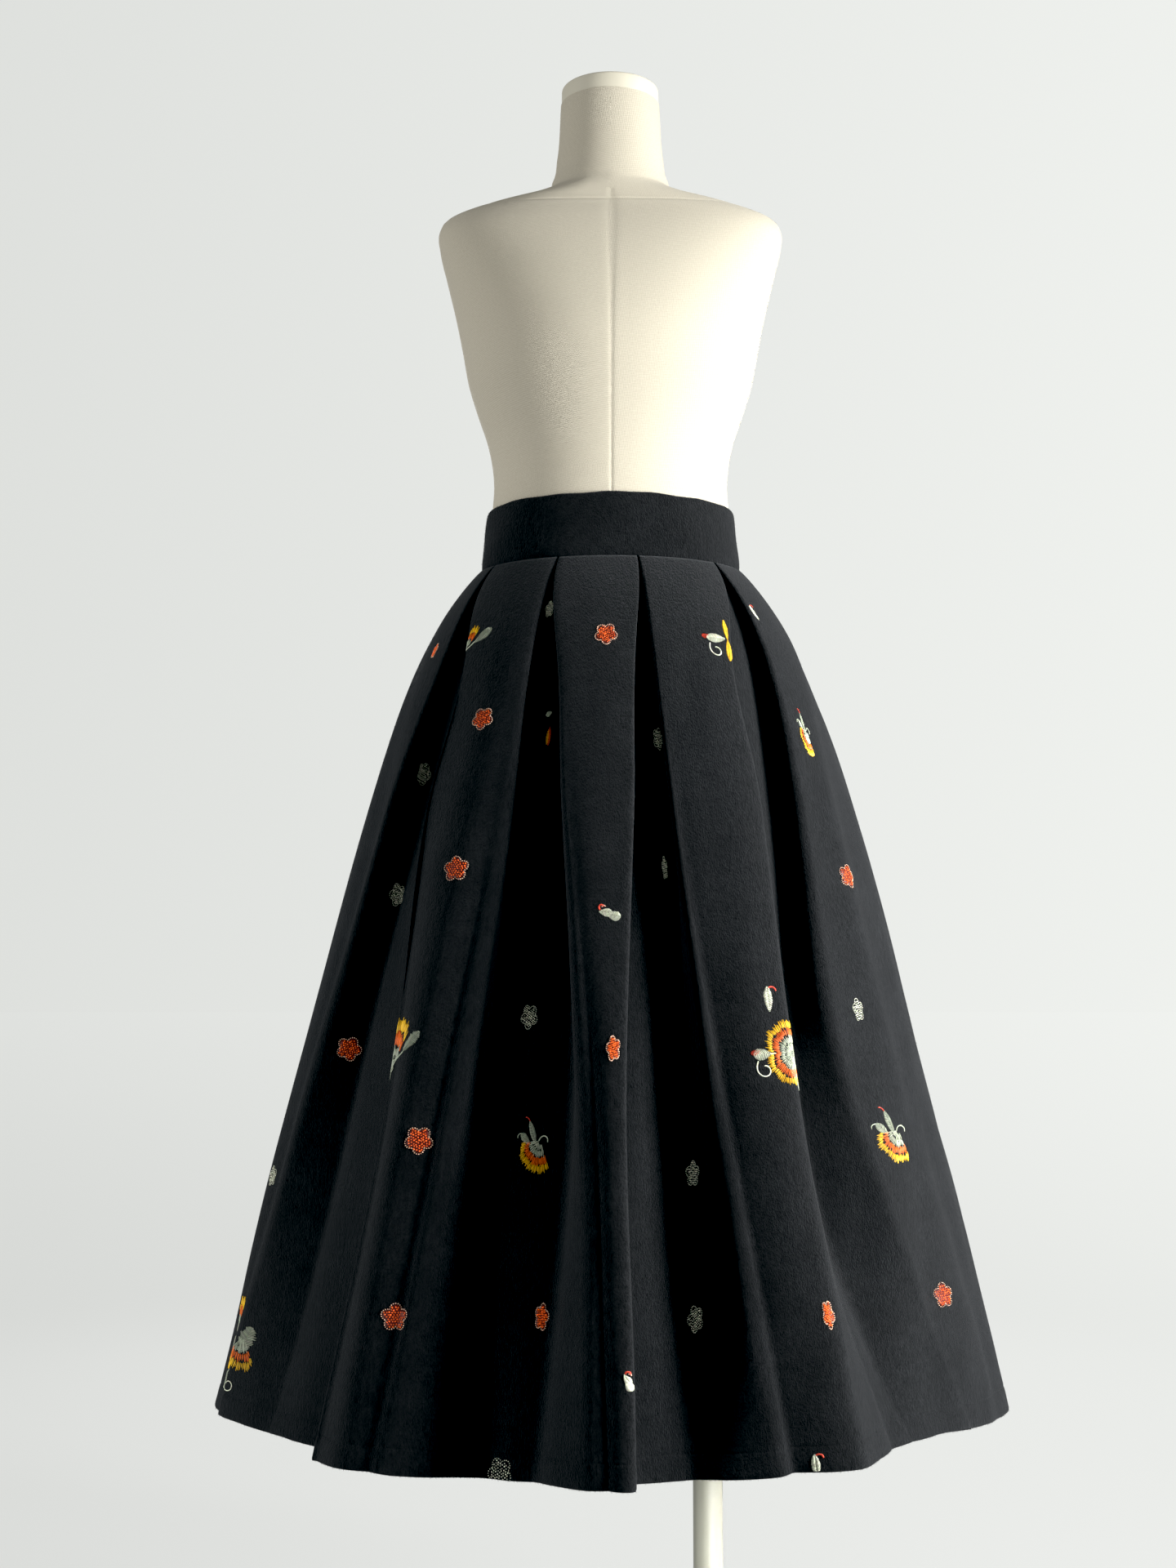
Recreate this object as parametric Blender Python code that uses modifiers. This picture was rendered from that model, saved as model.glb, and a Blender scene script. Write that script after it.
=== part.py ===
# An A-line skirt with nine inverted pleats, resting on a limbless dress form.
# Metres, +Z up. The front faces -Y, and the stand's base lies on z = 0.

import math

import bmesh
import bpy
import numpy as np

# Main heights
SEAM_HEIGHT = 1.092          # seam between waistband and skirt
BAND_TOP_HEIGHT = 1.1535     # middle height of the band's top edge
BAND_TOP_RISE = 0.0035       # the top edge is this much higher at the front, lower at the back
SKIRT_DROP = 0.822           # from the seam straight down to the hem, along a panel

# Cloth
CLOTH = 0.0018               # thickness of the napped wool
BAND_CLOTH = 0.0045          # the band is two layers with a stiffener between them
HEM_DEPTH = 0.022            # cloth turned up at the hem
HEM_CLOTH = 0.0036           # two layers in the hem
SEAM_GAP = 0.0003            # touching pieces stay this far apart
FORM_GAP = 0.0005            # the cloth stays this far off the form

# Plan of the skirt along its panels, as an oval that widens with the drop below the seam
WAIST_HALF_WIDTH = 0.1335
WAIST_HALF_DEPTH = 0.1015
SIDE_SWELL = 0.0513          # quick widening just below the band, at the sides
SIDE_SWELL_REACH = 0.077
SIDE_SLOPE = 0.248           # steady widening further down, at the sides
FRONT_SWELL = 0.0700         # the same, at front and back
FRONT_SWELL_REACH = 0.090
FRONT_SLOPE = 0.266
HEM_SET_BACK = 0.009         # at the hem the oval's middle lies this far behind the waist's

# Pleats. Each has a left fold and a right fold, where the panels beside it end, and a floor
# behind them. A place is a share of the way round, from the centre front towards +X.
LEVELS = (0.0, 0.09, 0.26, 0.48, SKIRT_DROP)
PLEATS = (
    # name
    # left fold: its place at the five levels, then its overlap, radius, set-in and the cut
    # width of the pleat's side at the hem; right fold: the same
    ("back_left",
     (-0.3966, -0.4000, -0.4060, -0.4120, -0.4180), (-0.034, 0.024, 0.000, 0.064),
     (-0.3966, -0.3870, -0.3790, -0.3740, -0.3680), (-0.030, 0.022, 0.000, 0.064)),
    ("side_left",
     (-0.2865, -0.2920, -0.3020, -0.3120, -0.3220), (-0.030, 0.022, 0.000, 0.064),
     (-0.2865, -0.2790, -0.2720, -0.2680, -0.2660), (-0.036, 0.026, 0.002, 0.064)),
    ("front_left",
     (-0.1765, -0.1600, -0.1750, -0.1950, -0.2120), (-0.048, 0.034, 0.004, 0.064),
     (-0.1765, -0.1370, -0.1330, -0.1205, -0.1265), (0.008, 0.007, 0.014, 0.064)),
    ("centre_left",
     (-0.0711, -0.0665, -0.0640, -0.0700, -0.0760), (-0.034, 0.038, 0.012, 0.064),
     (-0.0711, -0.0500, -0.0340, -0.0210, -0.0160), (-0.030, 0.032, 0.003, 0.064)),
    ("centre_right",
     (0.0345, 0.0200, 0.0114, 0.0052, 0.0065), (0.010, 0.004, 0.002, 0.064),
     (0.0345, 0.0308, 0.0325, 0.0400, 0.0520), (-0.036, 0.038, 0.014, 0.064)),
    ("front_right",
     (0.1489, 0.1050, 0.0965, 0.0890, 0.0950), (-0.0380, 0.016, 0.004, 0.050),
     (0.1489, 0.1440, 0.1310, 0.1190, 0.1600), (-0.0485, 0.036, 0.024, 0.050)),
    ("side_right",
     (0.2653, 0.2590, 0.2540, 0.2520, 0.2520), (-0.032, 0.024, 0.006, 0.064),
     (0.2653, 0.2760, 0.2880, 0.2990, 0.3100), (-0.030, 0.024, 0.000, 0.064)),
    ("back_right",
     (0.3823, 0.3760, 0.3690, 0.3630, 0.3580), (-0.030, 0.022, 0.000, 0.064),
     (0.3823, 0.3880, 0.3950, 0.4020, 0.4090), (-0.034, 0.024, 0.000, 0.064)),
    ("centre_back",
     (0.5000, 0.4890, 0.4770, 0.4670, 0.4590), (-0.034, 0.024, 0.000, 0.064),
     (0.5000, 0.5110, 0.5230, 0.5330, 0.5410), (-0.034, 0.024, 0.000, 0.064)),
)
FOLD_HALF_GAP = 0.0012       # from a closed pleat's middle to the middle of the folded cloth
WAIST_OVERLAP = 0.030        # how far a pleat's floor reaches behind each panel at the seam
WAIST_FOLD_RADIUS = 0.0014
WAIST_FLOOR_DEPTH = 0.0056   # the floor lies two layers behind the panel at the seam
OPENING_POWER = 1.25         # how late the pleats open on the way down
FLOOR_RADIUS = 0.024         # radius of the floor's two corners at the hem
HEM_SAG = 0.35               # how much of its spare length a recessed point hangs lower, as the
                             # hem was levelled round the wearer
SIDE_LIFT = 0.013            # the hem rides up this much towards the right side
LIFT_PLACE = 0.135           # where it rides up most, as a share of the way round
LIFT_REACH = 0.060           # how far round that spreads

# Rows of the skirt's walls, as drops below the seam, and points along each part of a row
ROW_DROPS = (0.0, 0.010, 0.026, 0.055, 0.100, 0.160, 0.230, 0.310, 0.395, 0.480, 0.570, 0.655, 0.735)
ARC_POINTS = 3
POINTS_BEFORE_FOLD = (2, 1, 3, 1)   # on the floor, a side, the panel and the next side
HALF_FLOOR_POINTS = 1

# The three pieces that are cut and sewn: the first and last pleat whose floor holds a seam
SKIRT_PIECES = (("skirt_back_left", 0, 2), ("skirt_front", 2, 7), ("skirt_back_right", 7, 9))

# Waistband pieces, as shares of the way round
BAND_PIECES = (("waistband_back_left", -0.5, -0.25, 12), ("waistband_front", -0.25, 0.25, 24),
               ("waistband_back_right", 0.25, 0.5, 12))
BAND_ARC_POINTS = 5          # round top edge of the band

# Dress form, bottom to top: height, half width, reach to the front, reach to the back,
# and squareness of the section, where 2 is an oval
FORM_SECTIONS = (
    (0.8000, 0.1460, 0.0940, 0.1060, 2.20),
    (0.8080, 0.1530, 0.1000, 0.1120, 2.20),
    (0.8600, 0.1590, 0.1040, 0.1170, 2.15),
    (0.9300, 0.1600, 0.1060, 0.1160, 2.10),
    (1.0000, 0.1490, 0.1030, 0.1080, 2.05),
    (1.0500, 0.1365, 0.0980, 0.0985, 2.00),
    (SEAM_HEIGHT, 0.1258, 0.0938, 0.0938, 2.00),
    (1.1570, 0.1205, 0.0905, 0.0905, 2.00),
    (1.1850, 0.1190, 0.0895, 0.0890, 2.00),
    (1.2250, 0.1250, 0.0940, 0.0900, 2.05),
    (1.2600, 0.1365, 0.1040, 0.0940, 2.10),
    (1.2900, 0.1455, 0.1130, 0.0970, 2.15),
    (1.3200, 0.1510, 0.1150, 0.0990, 2.20),
    (1.3600, 0.1590, 0.1090, 0.0995, 2.30),
    (1.4000, 0.1685, 0.0960, 0.0960, 2.40),
    (1.4300, 0.1755, 0.0820, 0.0880, 2.50),
    (1.4480, 0.1765, 0.0720, 0.0790, 2.50),
    (1.4600, 0.1690, 0.0650, 0.0720, 2.40),
    (1.4690, 0.1510, 0.0610, 0.0670, 2.20),
    (1.4770, 0.1240, 0.0590, 0.0640, 2.10),
    (1.4840, 0.0920, 0.0580, 0.0620, 2.00),
    (1.4910, 0.0690, 0.0565, 0.0595, 2.00),
    (1.5040, 0.0600, 0.0550, 0.0565, 2.00),
    (1.5300, 0.0550, 0.0530, 0.0540, 2.00),
    (1.5875, 0.0512, 0.0512, 0.0512, 2.00),
)
FORM_COLUMNS = 36

# Neck cap and stand
CAP_RADIUS = 0.05025
CAP_BOTTOM = 1.5878
CAP_TOP = 1.6050
CAP_ROUNDING = 0.0030
POLE_X = 0.094               # the pole stands to one side of the middle
POLE_RADIUS = 0.0145
FLANGE_RADIUS = 0.036
FLANGE_THICKNESS = 0.005
FLANGE_NECK_RADIUS = 0.022
FLANGE_HEIGHT = 0.026
BASE_RADIUS = 0.185
BASE_THICKNESS = 0.008
BASE_ROUNDING = 0.002
SOCKET_RADIUS = 0.027
SOCKET_HEIGHT = 0.034
ROUND_STEPS = 40

# Concealed zip at the centre back
ZIP_HALF_GAP = 0.0014        # half the space between the cloth edges along the zip
ZIP_HALF_WIDTH = 0.0011
ZIP_END_DROP = 0.170         # the zip ends this far below the seam
ZIP_TOP_BELOW_EDGE = 0.0012
SLIDER_WIDTH = 0.0050
SLIDER_HEIGHT = 0.0100
SLIDER_DEPTH = 0.0020
SLIDER_ROUNDING = 0.0004
SLIDER_BELOW_EDGE = 0.0056   # from the band's top edge down to the slider's hinge
BRIDGE_WIDTH = 0.0016
BRIDGE_REACH = 0.0034        # half of the bridge's length, up and down
BRIDGE_BAR = 0.0009
BRIDGE_SUNK = 0.0006         # how far the bridge's feet go into the slider
BRIDGE_SLANT = 0.0006        # size of the bridge's cut corners
BRIDGE_SLOT_START = 0.0001   # the bridge's slot starts this far off the slider's face
PULL_STANDOFF = 0.0009       # from the slider's face to the pull's hinge axis
PULL_THICKNESS = 0.0011
PULL_BAR = 0.0010
PULL_SLOT_LENGTH = 0.0040
PULL_SLOT_WIDTH = 0.0024
PULL_LENGTH = 0.0240
PULL_TOP_WIDTH = 0.0044
PULL_END_RADIUS = 0.0036
PULL_END_ARC = (10.0, -190.0)   # the round end's start and finish in degrees
PULL_END_POINTS = 11

# Colours: red, green, blue, roughness, metallic
FINISHES = {
    "wool": ((0.016, 0.017, 0.018), 0.95, 0.0),
    "linen": ((0.76, 0.70, 0.60), 0.90, 0.0),
    "cream": ((0.84, 0.80, 0.68), 0.60, 0.0),
    "lacquer": ((0.58, 0.57, 0.48), 0.40, 0.0),
    "steel": ((0.55, 0.55, 0.53), 0.35, 0.9),
    "zip_black": ((0.020, 0.020, 0.022), 0.45, 0.3),
}


def new_material(name, finish):
    colour, roughness, metallic = FINISHES[finish]
    material = bpy.data.materials.new(name)
    material.use_nodes = True
    shader = material.node_tree.nodes["Principled BSDF"]
    shader.inputs["Base Color"].default_value = (*colour, 1.0)
    shader.inputs["Roughness"].default_value = roughness
    shader.inputs["Metallic"].default_value = metallic
    material.diffuse_color = (*colour, 1.0)
    return material


def new_object(name, data, finish, collection):
    obj = bpy.data.objects.new(name, data)
    data.materials.clear()
    data.materials.append(new_material(name + "_finish", finish))
    collection.objects.link(obj)
    return obj


# The oval that the panels follow at each drop: its half width, half depth and middle.
def panel_oval(drop):
    side = SIDE_SWELL * (1 - np.exp(-drop / SIDE_SWELL_REACH)) + SIDE_SLOPE * drop
    front = FRONT_SWELL * (1 - np.exp(-drop / FRONT_SWELL_REACH)) + FRONT_SLOPE * drop
    return WAIST_HALF_WIDTH + side, WAIST_HALF_DEPTH + front, HEM_SET_BACK * drop / SKIRT_DROP


# A place on an oval, from a distance along it and an offset out of it. The distance starts
# at the centre front and runs towards +X. Returns x and y.
def place_on_oval(half_width, half_depth, middle_y, along, out):
    angles = np.linspace(-1.5 * math.pi, 1.5 * math.pi, 2161)
    x = half_width * np.sin(angles)
    y = -half_depth * np.cos(angles)
    lengths = np.concatenate([[0.0], np.cumsum(np.hypot(np.diff(x), np.diff(y)))])
    lengths -= np.interp(0.0, angles, lengths)
    angle = np.interp(along, lengths, angles)
    normal_x = half_depth * np.sin(angle)
    normal_y = -half_width * np.cos(angle)
    size = np.hypot(normal_x, normal_y)
    place_x = half_width * np.sin(angle) + out * normal_x / size
    place_y = middle_y - half_depth * np.cos(angle) + out * normal_y / size
    return place_x, place_y


def oval_length(half_width, half_depth, _middle_y):
    angles = np.linspace(0.0, 2.0 * math.pi, 721)
    x = half_width * np.sin(angles)
    y = half_depth * np.cos(angles)
    return float(np.hypot(np.diff(x), np.diff(y)).sum())


# A value that the pleat table gives at five levels, run smoothly through them.
def smooth_between(levels, values, drop):
    levels = np.asarray(levels)
    values = np.asarray(values)
    slopes = np.gradient(values, levels)
    at = int(np.clip(np.searchsorted(levels, drop) - 1, 0, len(levels) - 2))
    span = levels[at + 1] - levels[at]
    u = (drop - levels[at]) / span
    start = values[at] * (2 * u**3 - 3 * u**2 + 1) + slopes[at] * span * (u**3 - 2 * u**2 + u)
    end = values[at + 1] * (3 * u**2 - 2 * u**3) + slopes[at + 1] * span * (u**3 - u**2)
    return float(start + end)


# The four folds of one pleat at one drop: each is a circle that the cloth bends round, with
# its distance along the oval, its offset out of it, its radius and the side it turns to.
# The floor's depth follows from the cut: the pleat's side is a strip of known width.
def pleat_folds(pleat, turns, drop):
    _, left_places, left_hem, right_places, right_hem = PLEATS[pleat]
    around = oval_length(*panel_oval(drop))
    down = drop / SKIRT_DROP
    opening = down**OPENING_POWER
    floor_radius = WAIST_FOLD_RADIUS + (FLOOR_RADIUS - WAIST_FOLD_RADIUS) * opening
    folds = []
    for places, (lap_at_hem, radius_at_hem, set_in_at_hem, side_at_hem), way in (
        (left_places, left_hem, -1.0),
        (right_places, right_hem, 1.0),
    ):
        edge = (smooth_between(LEVELS, places, drop) + turns) * around + way * FOLD_HALF_GAP
        side = WAIST_OVERLAP + (side_at_hem - WAIST_OVERLAP) * down
        lap = WAIST_OVERLAP + (lap_at_hem - WAIST_OVERLAP) * opening
        radius = WAIST_FOLD_RADIUS + (radius_at_hem - WAIST_FOLD_RADIUS) * opening
        depth = max(math.sqrt(max(side**2 - lap**2, 0.0)), WAIST_FLOOR_DEPTH)
        set_in = set_in_at_hem * opening
        panel_fold = (edge + way * radius, -radius - set_in, radius, 1.0)
        floor_out = floor_radius - depth - set_in
        floor_fold = (edge + way * (lap - floor_radius), floor_out, floor_radius, -1.0)
        folds.append((panel_fold, floor_fold))
    (left_panel, left_floor), (right_panel, right_floor) = folds
    return [left_panel, left_floor, right_floor, right_panel]


# The heading of the straight cloth between two folds: the line that touches both circles.
def heading_between(first, second):
    step_along = second[0] - first[0]
    step_out = second[1] - first[1]
    reach = math.hypot(step_along, step_out)
    lean = (first[3] * first[2] - second[3] * second[2]) / reach
    return math.atan2(step_out, step_along) - math.asin(max(-1.0, min(1.0, lean)))


# One row of a skirt piece, from the middle of one pleat's floor to the middle of another's:
# distance along, offset out, and the heading there, for each point.
def skirt_row(first_pleat, last_pleat, drop):
    folds = []
    for number in range(first_pleat, last_pleat + 1):
        turns = -1.0 if number == 0 else 0.0
        folds.extend(pleat_folds((number - 1) % len(PLEATS), turns, drop))
    folds = folds[2:-2]
    start = floor_middle(first_pleat, drop)
    end = floor_middle(last_pleat, drop)
    headings = [start[2]]
    headings += [heading_between(folds[i], folds[i + 1]) for i in range(len(folds) - 1)]
    headings.append(end[2])
    row = [start]
    for i, (along, out, radius, way) in enumerate(folds):
        turn = np.linspace(headings[i], headings[i + 1], ARC_POINTS)
        arc = [(along - way * radius * math.sin(h), out + way * radius * math.cos(h), h) for h in turn]
        count = POINTS_BEFORE_FOLD[i % 4] if i else HALF_FLOOR_POINTS
        row += straight_points(row[-1], arc[0], count)
        row += arc
    row += straight_points(row[-1], end, HALF_FLOOR_POINTS)
    row.append(end)
    return np.array(row)


# Points spread evenly between two points of a row, without the two ends.
def straight_points(start, end, count):
    shares = [(k + 1) / (count + 1) for k in range(count)]
    return [(start[0] + (end[0] - start[0]) * s, start[1] + (end[1] - start[1]) * s, end[2]) for s in shares]


# The middle of a pleat's floor at one drop: distance along, offset out, and heading.
def floor_middle(number, drop):
    turns = -1.0 if number == 0 else 0.0
    _, left, right, _ = pleat_folds((number - 1) % len(PLEATS), turns, drop)
    heading = heading_between(left, right)
    start = (left[0] + left[2] * math.sin(heading), left[1] - left[2] * math.cos(heading))
    end = (right[0] + right[2] * math.sin(heading), right[1] - right[2] * math.cos(heading))
    return (start[0] + end[0]) / 2, (start[1] + end[1]) / 2, heading


# Rows of drops for the walls, with two close ones where the hem's second layer begins.
def wall_rows():
    hem_start = SKIRT_DROP - HEM_DEPTH
    rows = [(drop, CLOTH / 2) for drop in ROW_DROPS]
    rows.append((hem_start - SEAM_GAP, CLOTH / 2))
    rows.append((hem_start + SEAM_GAP, HEM_CLOTH - CLOTH / 2))
    rows.append((SKIRT_DROP, HEM_CLOTH - CLOTH / 2))
    return rows


# How far a piece's edge stops short of the middle of a pleat's floor. Along the zip the
# cloth edges leave room for the coil.
def edge_gap(pleat, drop):
    at_zip = pleat in (0, len(PLEATS)) and drop < ZIP_END_DROP
    return ZIP_HALF_GAP if at_zip else SEAM_GAP / 2


# Moves the first and last point of a row into the piece, by their gaps.
def trim_ends(x, y, first_gap, last_gap):
    for end, neighbour, gap in ((0, 1, first_gap), (-1, -2, last_gap)):
        step = math.hypot(x[neighbour] - x[end], y[neighbour] - y[end])
        x[end] += (x[neighbour] - x[end]) * gap / step
        y[end] += (y[neighbour] - y[end]) * gap / step


# The height of each point of the cloth, row by row, from its distance to the middle and that
# of the panels' oval. The cloth keeps its length, so what hangs further in would hang lower,
# but the hem is levelled, so only part of that shows.
def cloth_heights(drops, middles, panels):
    fallen = np.zeros_like(middles[0])
    heights = [fallen + SEAM_HEIGHT - SEAM_GAP]
    for r in range(1, len(drops)):
        square = (drops[r] - drops[r - 1]) ** 2 + (panels[r] - panels[r - 1]) ** 2
        square = square - (middles[r] - middles[r - 1]) ** 2
        fallen = fallen + np.sqrt(np.maximum(square, 0.0))
        heights.append(SEAM_HEIGHT - SEAM_GAP - drops[r] - HEM_SAG * (fallen - drops[r]))
    return heights


# How much higher the cloth hangs towards the right side, in proportion to the drop.
def side_lift(along, drop):
    share = along / oval_length(*panel_oval(drop))
    return SIDE_LIFT * drop / SKIRT_DROP * np.exp(-(((share - LIFT_PLACE) / LIFT_REACH) ** 2))


# A skirt wall as two grids of points, outer and inner.
def skirt_wall(first_pleat, last_pleat):
    drops = [drop for drop, _ in wall_rows()]
    rows = [skirt_row(first_pleat, last_pleat, drop) for drop in drops]
    ovals = [panel_oval(drop) for drop in drops]
    middles = [np.hypot(*place_on_oval(*oval, row[:, 0], row[:, 1])) for oval, row in zip(ovals, rows)]
    panels = [np.hypot(*place_on_oval(*oval, row[:, 0], 0.0)) for oval, row in zip(ovals, rows)]
    heights = cloth_heights(drops, middles, panels)
    heights = [height + side_lift(row[:, 0], drop) for height, row, drop in zip(heights, rows, drops)]
    outer, inner = [], []
    for (drop, inward), row, oval, height in zip(wall_rows(), rows, ovals, heights):
        along, out, heading = row.T
        for offset, side in ((CLOTH / 2, outer), (-inward, inner)):
            x, y = place_on_oval(*oval, along - offset * np.sin(heading), out + offset * np.cos(heading))
            trim_ends(x, y, edge_gap(first_pleat, drop), edge_gap(last_pleat, drop))
            side.append(np.column_stack([x, y, height]))
    return np.array(outer), np.array(inner)


# A closed wall between two grids of the same shape, the outer one facing out.
def wall_mesh(name, outer, inner):
    rows, columns = outer.shape[:2]
    points = np.concatenate([outer.reshape(-1, 3), inner.reshape(-1, 3)])
    half = rows * columns
    faces = []
    for r in range(rows - 1):
        for c in range(columns - 1):
            a, b = r * columns + c, r * columns + c + 1
            d, e = a + columns, b + columns
            faces.append((a, d, e, b))
            faces.append((half + a, half + b, half + e, half + d))
    for c in range(columns - 1):
        bottom = (rows - 1) * columns + c
        faces.append((c, c + 1, half + c + 1, half + c))
        faces.append((bottom, half + bottom, half + bottom + 1, bottom + 1))
    for r in range(rows - 1):
        left, right = r * columns, r * columns + columns - 1
        faces.append((left, half + left, half + left + columns, left + columns))
        faces.append((right, right + columns, half + right + columns, half + right))
    mesh = bpy.data.meshes.new(name)
    mesh.from_pydata(points.tolist(), [], faces)
    mesh.validate()
    return mesh


def smooth_mesh(mesh, sharp_degrees=40.0):
    mesh.shade_smooth()
    mesh.set_sharp_from_angle(angle=math.radians(sharp_degrees))


def add_skirt(collection):
    for name, first_pleat, last_pleat in SKIRT_PIECES:
        outer, inner = skirt_wall(first_pleat, last_pleat)
        mesh = wall_mesh(name, outer, inner)
        smooth_mesh(mesh)
        new_object(name, mesh, "wool", collection)


# The form's oval at a height in the straight stretch that the band covers.
def waist_oval(height):
    heights = [row[0] for row in FORM_SECTIONS]
    half_width = np.interp(height, heights, [row[1] for row in FORM_SECTIONS])
    half_depth = np.interp(height, heights, [row[2] for row in FORM_SECTIONS])
    return float(half_width), float(half_depth), 0.0


def band_top(angle):
    return BAND_TOP_HEIGHT + BAND_TOP_RISE * np.cos(angle)


# The band's upright section as a closed line of points: distance off the form and height,
# up the inside, over the round top edge and down the outside.
def band_profile(top):
    bottom = SEAM_HEIGHT
    radius = BAND_CLOTH / 2
    points = [(FORM_GAP, bottom), (FORM_GAP, (bottom + top) / 2)]
    for turn in np.linspace(math.pi, 0.0, BAND_ARC_POINTS):
        points.append((FORM_GAP + radius + radius * math.cos(turn), top - radius + radius * math.sin(turn)))
    points += [(FORM_GAP + BAND_CLOTH, (bottom + top) / 2), (FORM_GAP + BAND_CLOTH, bottom)]
    return points


# A band piece: its upright section carried round the waist between two places.
def band_mesh(name, start, end, steps):
    around = oval_length(*waist_oval(SEAM_HEIGHT))
    start_gap = ZIP_HALF_GAP if start == -0.5 else SEAM_GAP / 2
    end_gap = ZIP_HALF_GAP if end == 0.5 else SEAM_GAP / 2
    shares = np.linspace(start + start_gap / around, end - end_gap / around, steps + 1)
    points = []
    for share in shares:
        for off, height in band_profile(band_top(2 * math.pi * share)):
            oval = waist_oval(height)
            x, y = place_on_oval(*oval, share * oval_length(*oval), off)
            points.append((float(x), float(y), height))
    count = len(points) // (steps + 1)
    faces = []
    for s in range(steps):
        for k in range(count):
            a, b = s * count + k, s * count + (k + 1) % count
            faces.append((a, b, b + count, a + count))
    faces.append(tuple(reversed(range(count))))
    faces.append(tuple(steps * count + k for k in range(count)))
    mesh = bpy.data.meshes.new(name)
    mesh.from_pydata(points, [], faces)
    mesh.validate()
    return mesh


def add_waistband(collection):
    for name, start, end, steps in BAND_PIECES:
        mesh = band_mesh(name, start, end, steps)
        smooth_mesh(mesh)
        new_object(name, mesh, "wool", collection)


# One level section of the form: a superellipse with its own reach to front and back.
def form_ring(height, half_width, front, back, squareness, columns):
    angle = np.linspace(0.0, 2.0 * math.pi, columns, endpoint=False)
    power = 2.0 / squareness
    x = half_width * np.sign(np.sin(angle)) * np.abs(np.sin(angle)) ** power
    depth = -np.sign(np.cos(angle)) * np.abs(np.cos(angle)) ** power
    y = np.where(depth < 0, front, back) * depth
    return np.column_stack([x, y, np.full(columns, height)])


def add_form(collection):
    rings = [form_ring(*row, FORM_COLUMNS) for row in FORM_SECTIONS]
    points = np.concatenate(rings)
    faces = []
    for r in range(len(rings) - 1):
        for c in range(FORM_COLUMNS):
            a = r * FORM_COLUMNS + c
            b = r * FORM_COLUMNS + (c + 1) % FORM_COLUMNS
            faces.append((a, b, b + FORM_COLUMNS, a + FORM_COLUMNS))
    faces.append(tuple(reversed(range(FORM_COLUMNS))))
    top = (len(rings) - 1) * FORM_COLUMNS
    faces.append(tuple(top + c for c in range(FORM_COLUMNS)))
    mesh = bpy.data.meshes.new("form_torso")
    mesh.from_pydata(points.tolist(), [], faces)
    mesh.validate()
    smooth_mesh(mesh)
    new_object("form_torso", mesh, "linen", collection)


# A turned piece: a profile of radius and height, top to bottom on its outer side, spun
# round an upright axis. A solid one ends on the axis, and a ring closes on itself.
def add_turned(name, profile, x, finish, collection, ring=False):
    mesh = bpy.data.meshes.new(name)
    count = len(profile)
    edges = [(k, k + 1) for k in range(count - 1)]
    if ring:
        edges.append((count - 1, 0))
    mesh.from_pydata([(radius, 0.0, height) for radius, height in profile], edges, [])
    obj = new_object(name, mesh, finish, collection)
    obj.location = (x, 0.0, 0.0)
    spin = obj.modifiers.new("Spin", "SCREW")
    spin.axis = "Z"
    spin.angle = 2.0 * math.pi
    spin.steps = ROUND_STEPS
    spin.render_steps = ROUND_STEPS
    spin.use_merge_vertices = True
    spin.merge_threshold = 0.0001
    spin.use_smooth_shade = True
    spin.use_normal_calculate = False
    return obj


# A quarter circle of profile points, from one angle to another, about a centre.
def corner(centre_radius, centre_height, size, start_degrees, end_degrees, count=3):
    turns = np.radians(np.linspace(start_degrees, end_degrees, count))
    return [(centre_radius + size * math.cos(t), centre_height + size * math.sin(t)) for t in turns]


def add_neck_cap(collection):
    inner = CAP_RADIUS - CAP_ROUNDING
    profile = [(0.0, CAP_TOP)]
    profile += corner(inner, CAP_TOP - CAP_ROUNDING, CAP_ROUNDING, 90, 0, 4)
    profile += [(CAP_RADIUS, CAP_BOTTOM), (0.0, CAP_BOTTOM)]
    add_turned("form_neck_cap", profile, 0.0, "cream", collection)


def add_stand(collection):
    form_bottom = FORM_SECTIONS[0][0]
    flange_top = form_bottom - SEAM_GAP
    bore = POLE_RADIUS + SEAM_GAP
    flange = [
        (bore, flange_top),
        (FLANGE_RADIUS, flange_top),
        (FLANGE_RADIUS, flange_top - FLANGE_THICKNESS),
        (FLANGE_NECK_RADIUS, flange_top - FLANGE_THICKNESS),
        (FLANGE_NECK_RADIUS, flange_top - FLANGE_HEIGHT),
        (bore, flange_top - FLANGE_HEIGHT),
    ]
    add_turned("form_flange", flange, POLE_X, "steel", collection, ring=True)
    pole_bottom = BASE_THICKNESS + SEAM_GAP
    pole = [(0.0, flange_top), (POLE_RADIUS, flange_top), (POLE_RADIUS, pole_bottom), (0.0, pole_bottom)]
    add_turned("form_pole", pole, POLE_X, "lacquer", collection)
    socket_bottom = BASE_THICKNESS + SEAM_GAP
    socket_top = socket_bottom + SOCKET_HEIGHT
    socket = [(bore, socket_top)]
    socket += corner(SOCKET_RADIUS - BASE_ROUNDING, socket_top - BASE_ROUNDING, BASE_ROUNDING, 90, 0)
    socket += [(SOCKET_RADIUS, socket_bottom), (bore, socket_bottom)]
    add_turned("base_socket", socket, POLE_X, "steel", collection, ring=True)
    plate = [(0.0, BASE_THICKNESS)]
    plate += corner(BASE_RADIUS - BASE_ROUNDING, BASE_THICKNESS - BASE_ROUNDING, BASE_ROUNDING, 90, 0)
    plate += [(BASE_RADIUS, 0.0), (0.0, 0.0)]
    add_turned("base_plate", plate, 0.0, "lacquer", collection)


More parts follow.
